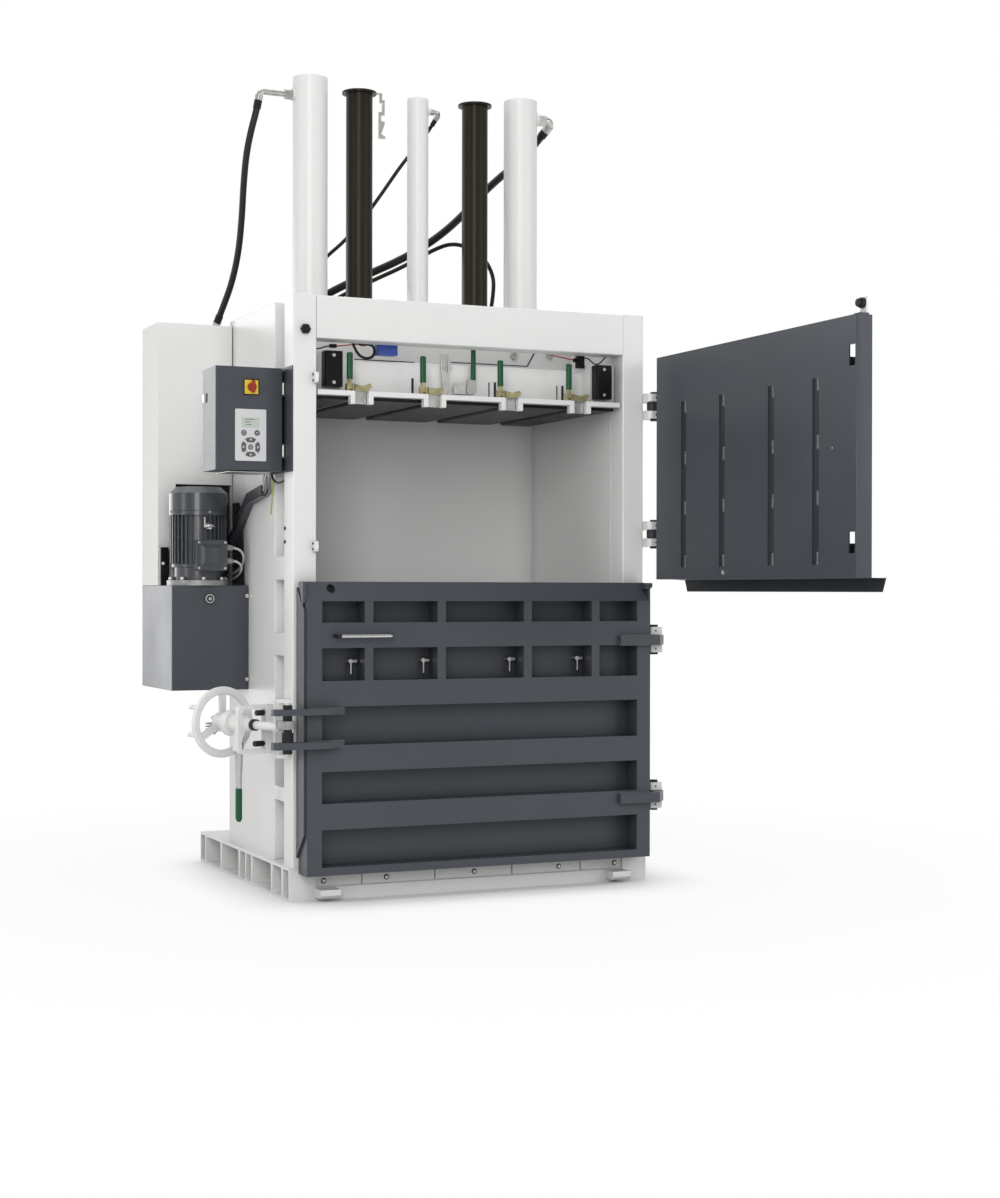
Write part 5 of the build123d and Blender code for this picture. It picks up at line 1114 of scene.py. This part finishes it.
# studio: pale floor that fades into a white background, soft lamps, and one low lamp behind on the left
studio = {
    "floorColor": (0.7, 0.7, 0.7, 1.0), "floorRoughness": 0.65, "floorSize": 30.0,
    "fadeStart": 1.1, "fadeEnd": 3.0, "nearShare": 0.92, "contact": 0.3, "contactPower": 1.6,
    "world": 0.46, "dimSide": 0.3, "aim": (0.0, -0.3, 1.2),
}
lamps = {
    "key": {"power": 170.0, "size": (2.2, 4.2), "place": (-3.1, -6.4, 3.2)},
    "side": {"power": 36.0, "size": (1.2, 4.0), "place": (-5.6, -1.3, 2.3)},
    "fill": {"power": 66.0, "size": (4.0, 3.0), "place": (4.2, -5.2, 2.8)},
    "top": {"power": 80.0, "size": (5.0, 5.0), "place": (0.0, 0.2, 6.2)},
    "sheen": {"power": 80.0, "size": (3.0, 3.0), "place": (-3.2, 4.5, 1.8), "glossOnly": True},
}
white = (1.0, 1.0, 1.0, 1.0)


def makeFloor(s):
    work = bmesh.new()
    bmesh.ops.create_grid(work, x_segments=2, y_segments=2, size=s["floorSize"])
    mesh = bpy.data.meshes.new("studioFloor")
    work.to_mesh(mesh)
    work.free()
    material, tree = newMaterial("paleFloor")
    bsdf = addNode(tree, "ShaderNodeBsdfPrincipled", {
        "Base Color": s["floorColor"], "Roughness": s["floorRoughness"]})
    far = addNode(tree, "ShaderNodeVectorMath", {0: addNode(tree, "ShaderNodeTexCoord").outputs["Object"]},
                  operation="LENGTH").outputs["Value"]
    share = makeRange(tree, far, s["fadeStart"], s["fadeEnd"], s["nearShare"], 1.0, shape="SMOOTHSTEP")
    path = addNode(tree, "ShaderNodeLightPath").outputs
    seen = makeMath(tree, "MAXIMUM", path["Is Camera Ray"], path["Is Glossy Ray"])
    # close to the object the floor keeps its dark contact shadow
    close = addNode(tree, "ShaderNodeAmbientOcclusion", {"Distance": s["contact"]}, samples=8).outputs["AO"]
    glow = times(tree, times(tree, seen, share), makeMath(tree, "POWER", close, s["contactPower"]))
    mixed = addNode(tree, "ShaderNodeMixShader", {
        "Fac": glow, 1: bsdf, 2: addNode(tree, "ShaderNodeEmission", {"Color": white})})
    addNode(tree, "ShaderNodeOutputMaterial", {"Surface": mixed})
    mesh.materials.append(material)
    linked(bpy.data.objects.new("studioFloor", mesh))


def makeWorld(s):
    world = bpy.data.worlds.new("studioWorld")
    bpy.context.scene.world = world
    world.use_nodes = True
    tree = world.node_tree
    tree.nodes.clear()
    # reflections see the white backdrop behind the object and a dimmer room before it
    toward = addNode(tree, "ShaderNodeSeparateXYZ", {
        "Vector": addNode(tree, "ShaderNodeTexCoord").outputs["Generated"]}).outputs["Y"]
    path = addNode(tree, "ShaderNodeLightPath").outputs
    room = makeRange(tree, toward, -0.25, 0.35, s["dimSide"], 1.0)
    light = addNode(tree, "ShaderNodeBackground", {"Color": white, "Strength": s["world"]})
    backdrop = addNode(tree, "ShaderNodeBackground", {
        "Color": white, "Strength": makeMath(tree, "MAXIMUM", path["Is Camera Ray"], room)})
    mirrored = makeMath(tree, "MAXIMUM", path["Is Glossy Ray"], path["Is Transmission Ray"])
    mixed = addNode(tree, "ShaderNodeMixShader", {
        "Fac": makeMath(tree, "MAXIMUM", path["Is Camera Ray"], mirrored), 1: light, 2: backdrop})
    addNode(tree, "ShaderNodeOutputWorld", {"Surface": mixed})


def makeLamp(name, s):
    data = bpy.data.lights.new(name + "Light", "AREA")
    data.energy = s["power"]
    data.shape = "RECTANGLE"
    data.size, data.size_y = s["size"]
    lamp = linked(bpy.data.objects.new(name + "Light", data))
    lamp.location = s["place"]
    lamp.rotation_euler = (Vector(studio["aim"]) - Vector(s["place"])).to_track_quat("-Z", "Y").to_euler()
    lamp.visible_camera = False
    lamp.visible_diffuse = not s.get("glossOnly", False)


makeFloor(studio)
makeWorld(studio)
for name, s in lamps.items():
    makeLamp(name, s)
bpy.context.scene.view_settings.view_transform = "Standard"
print("studio lit")
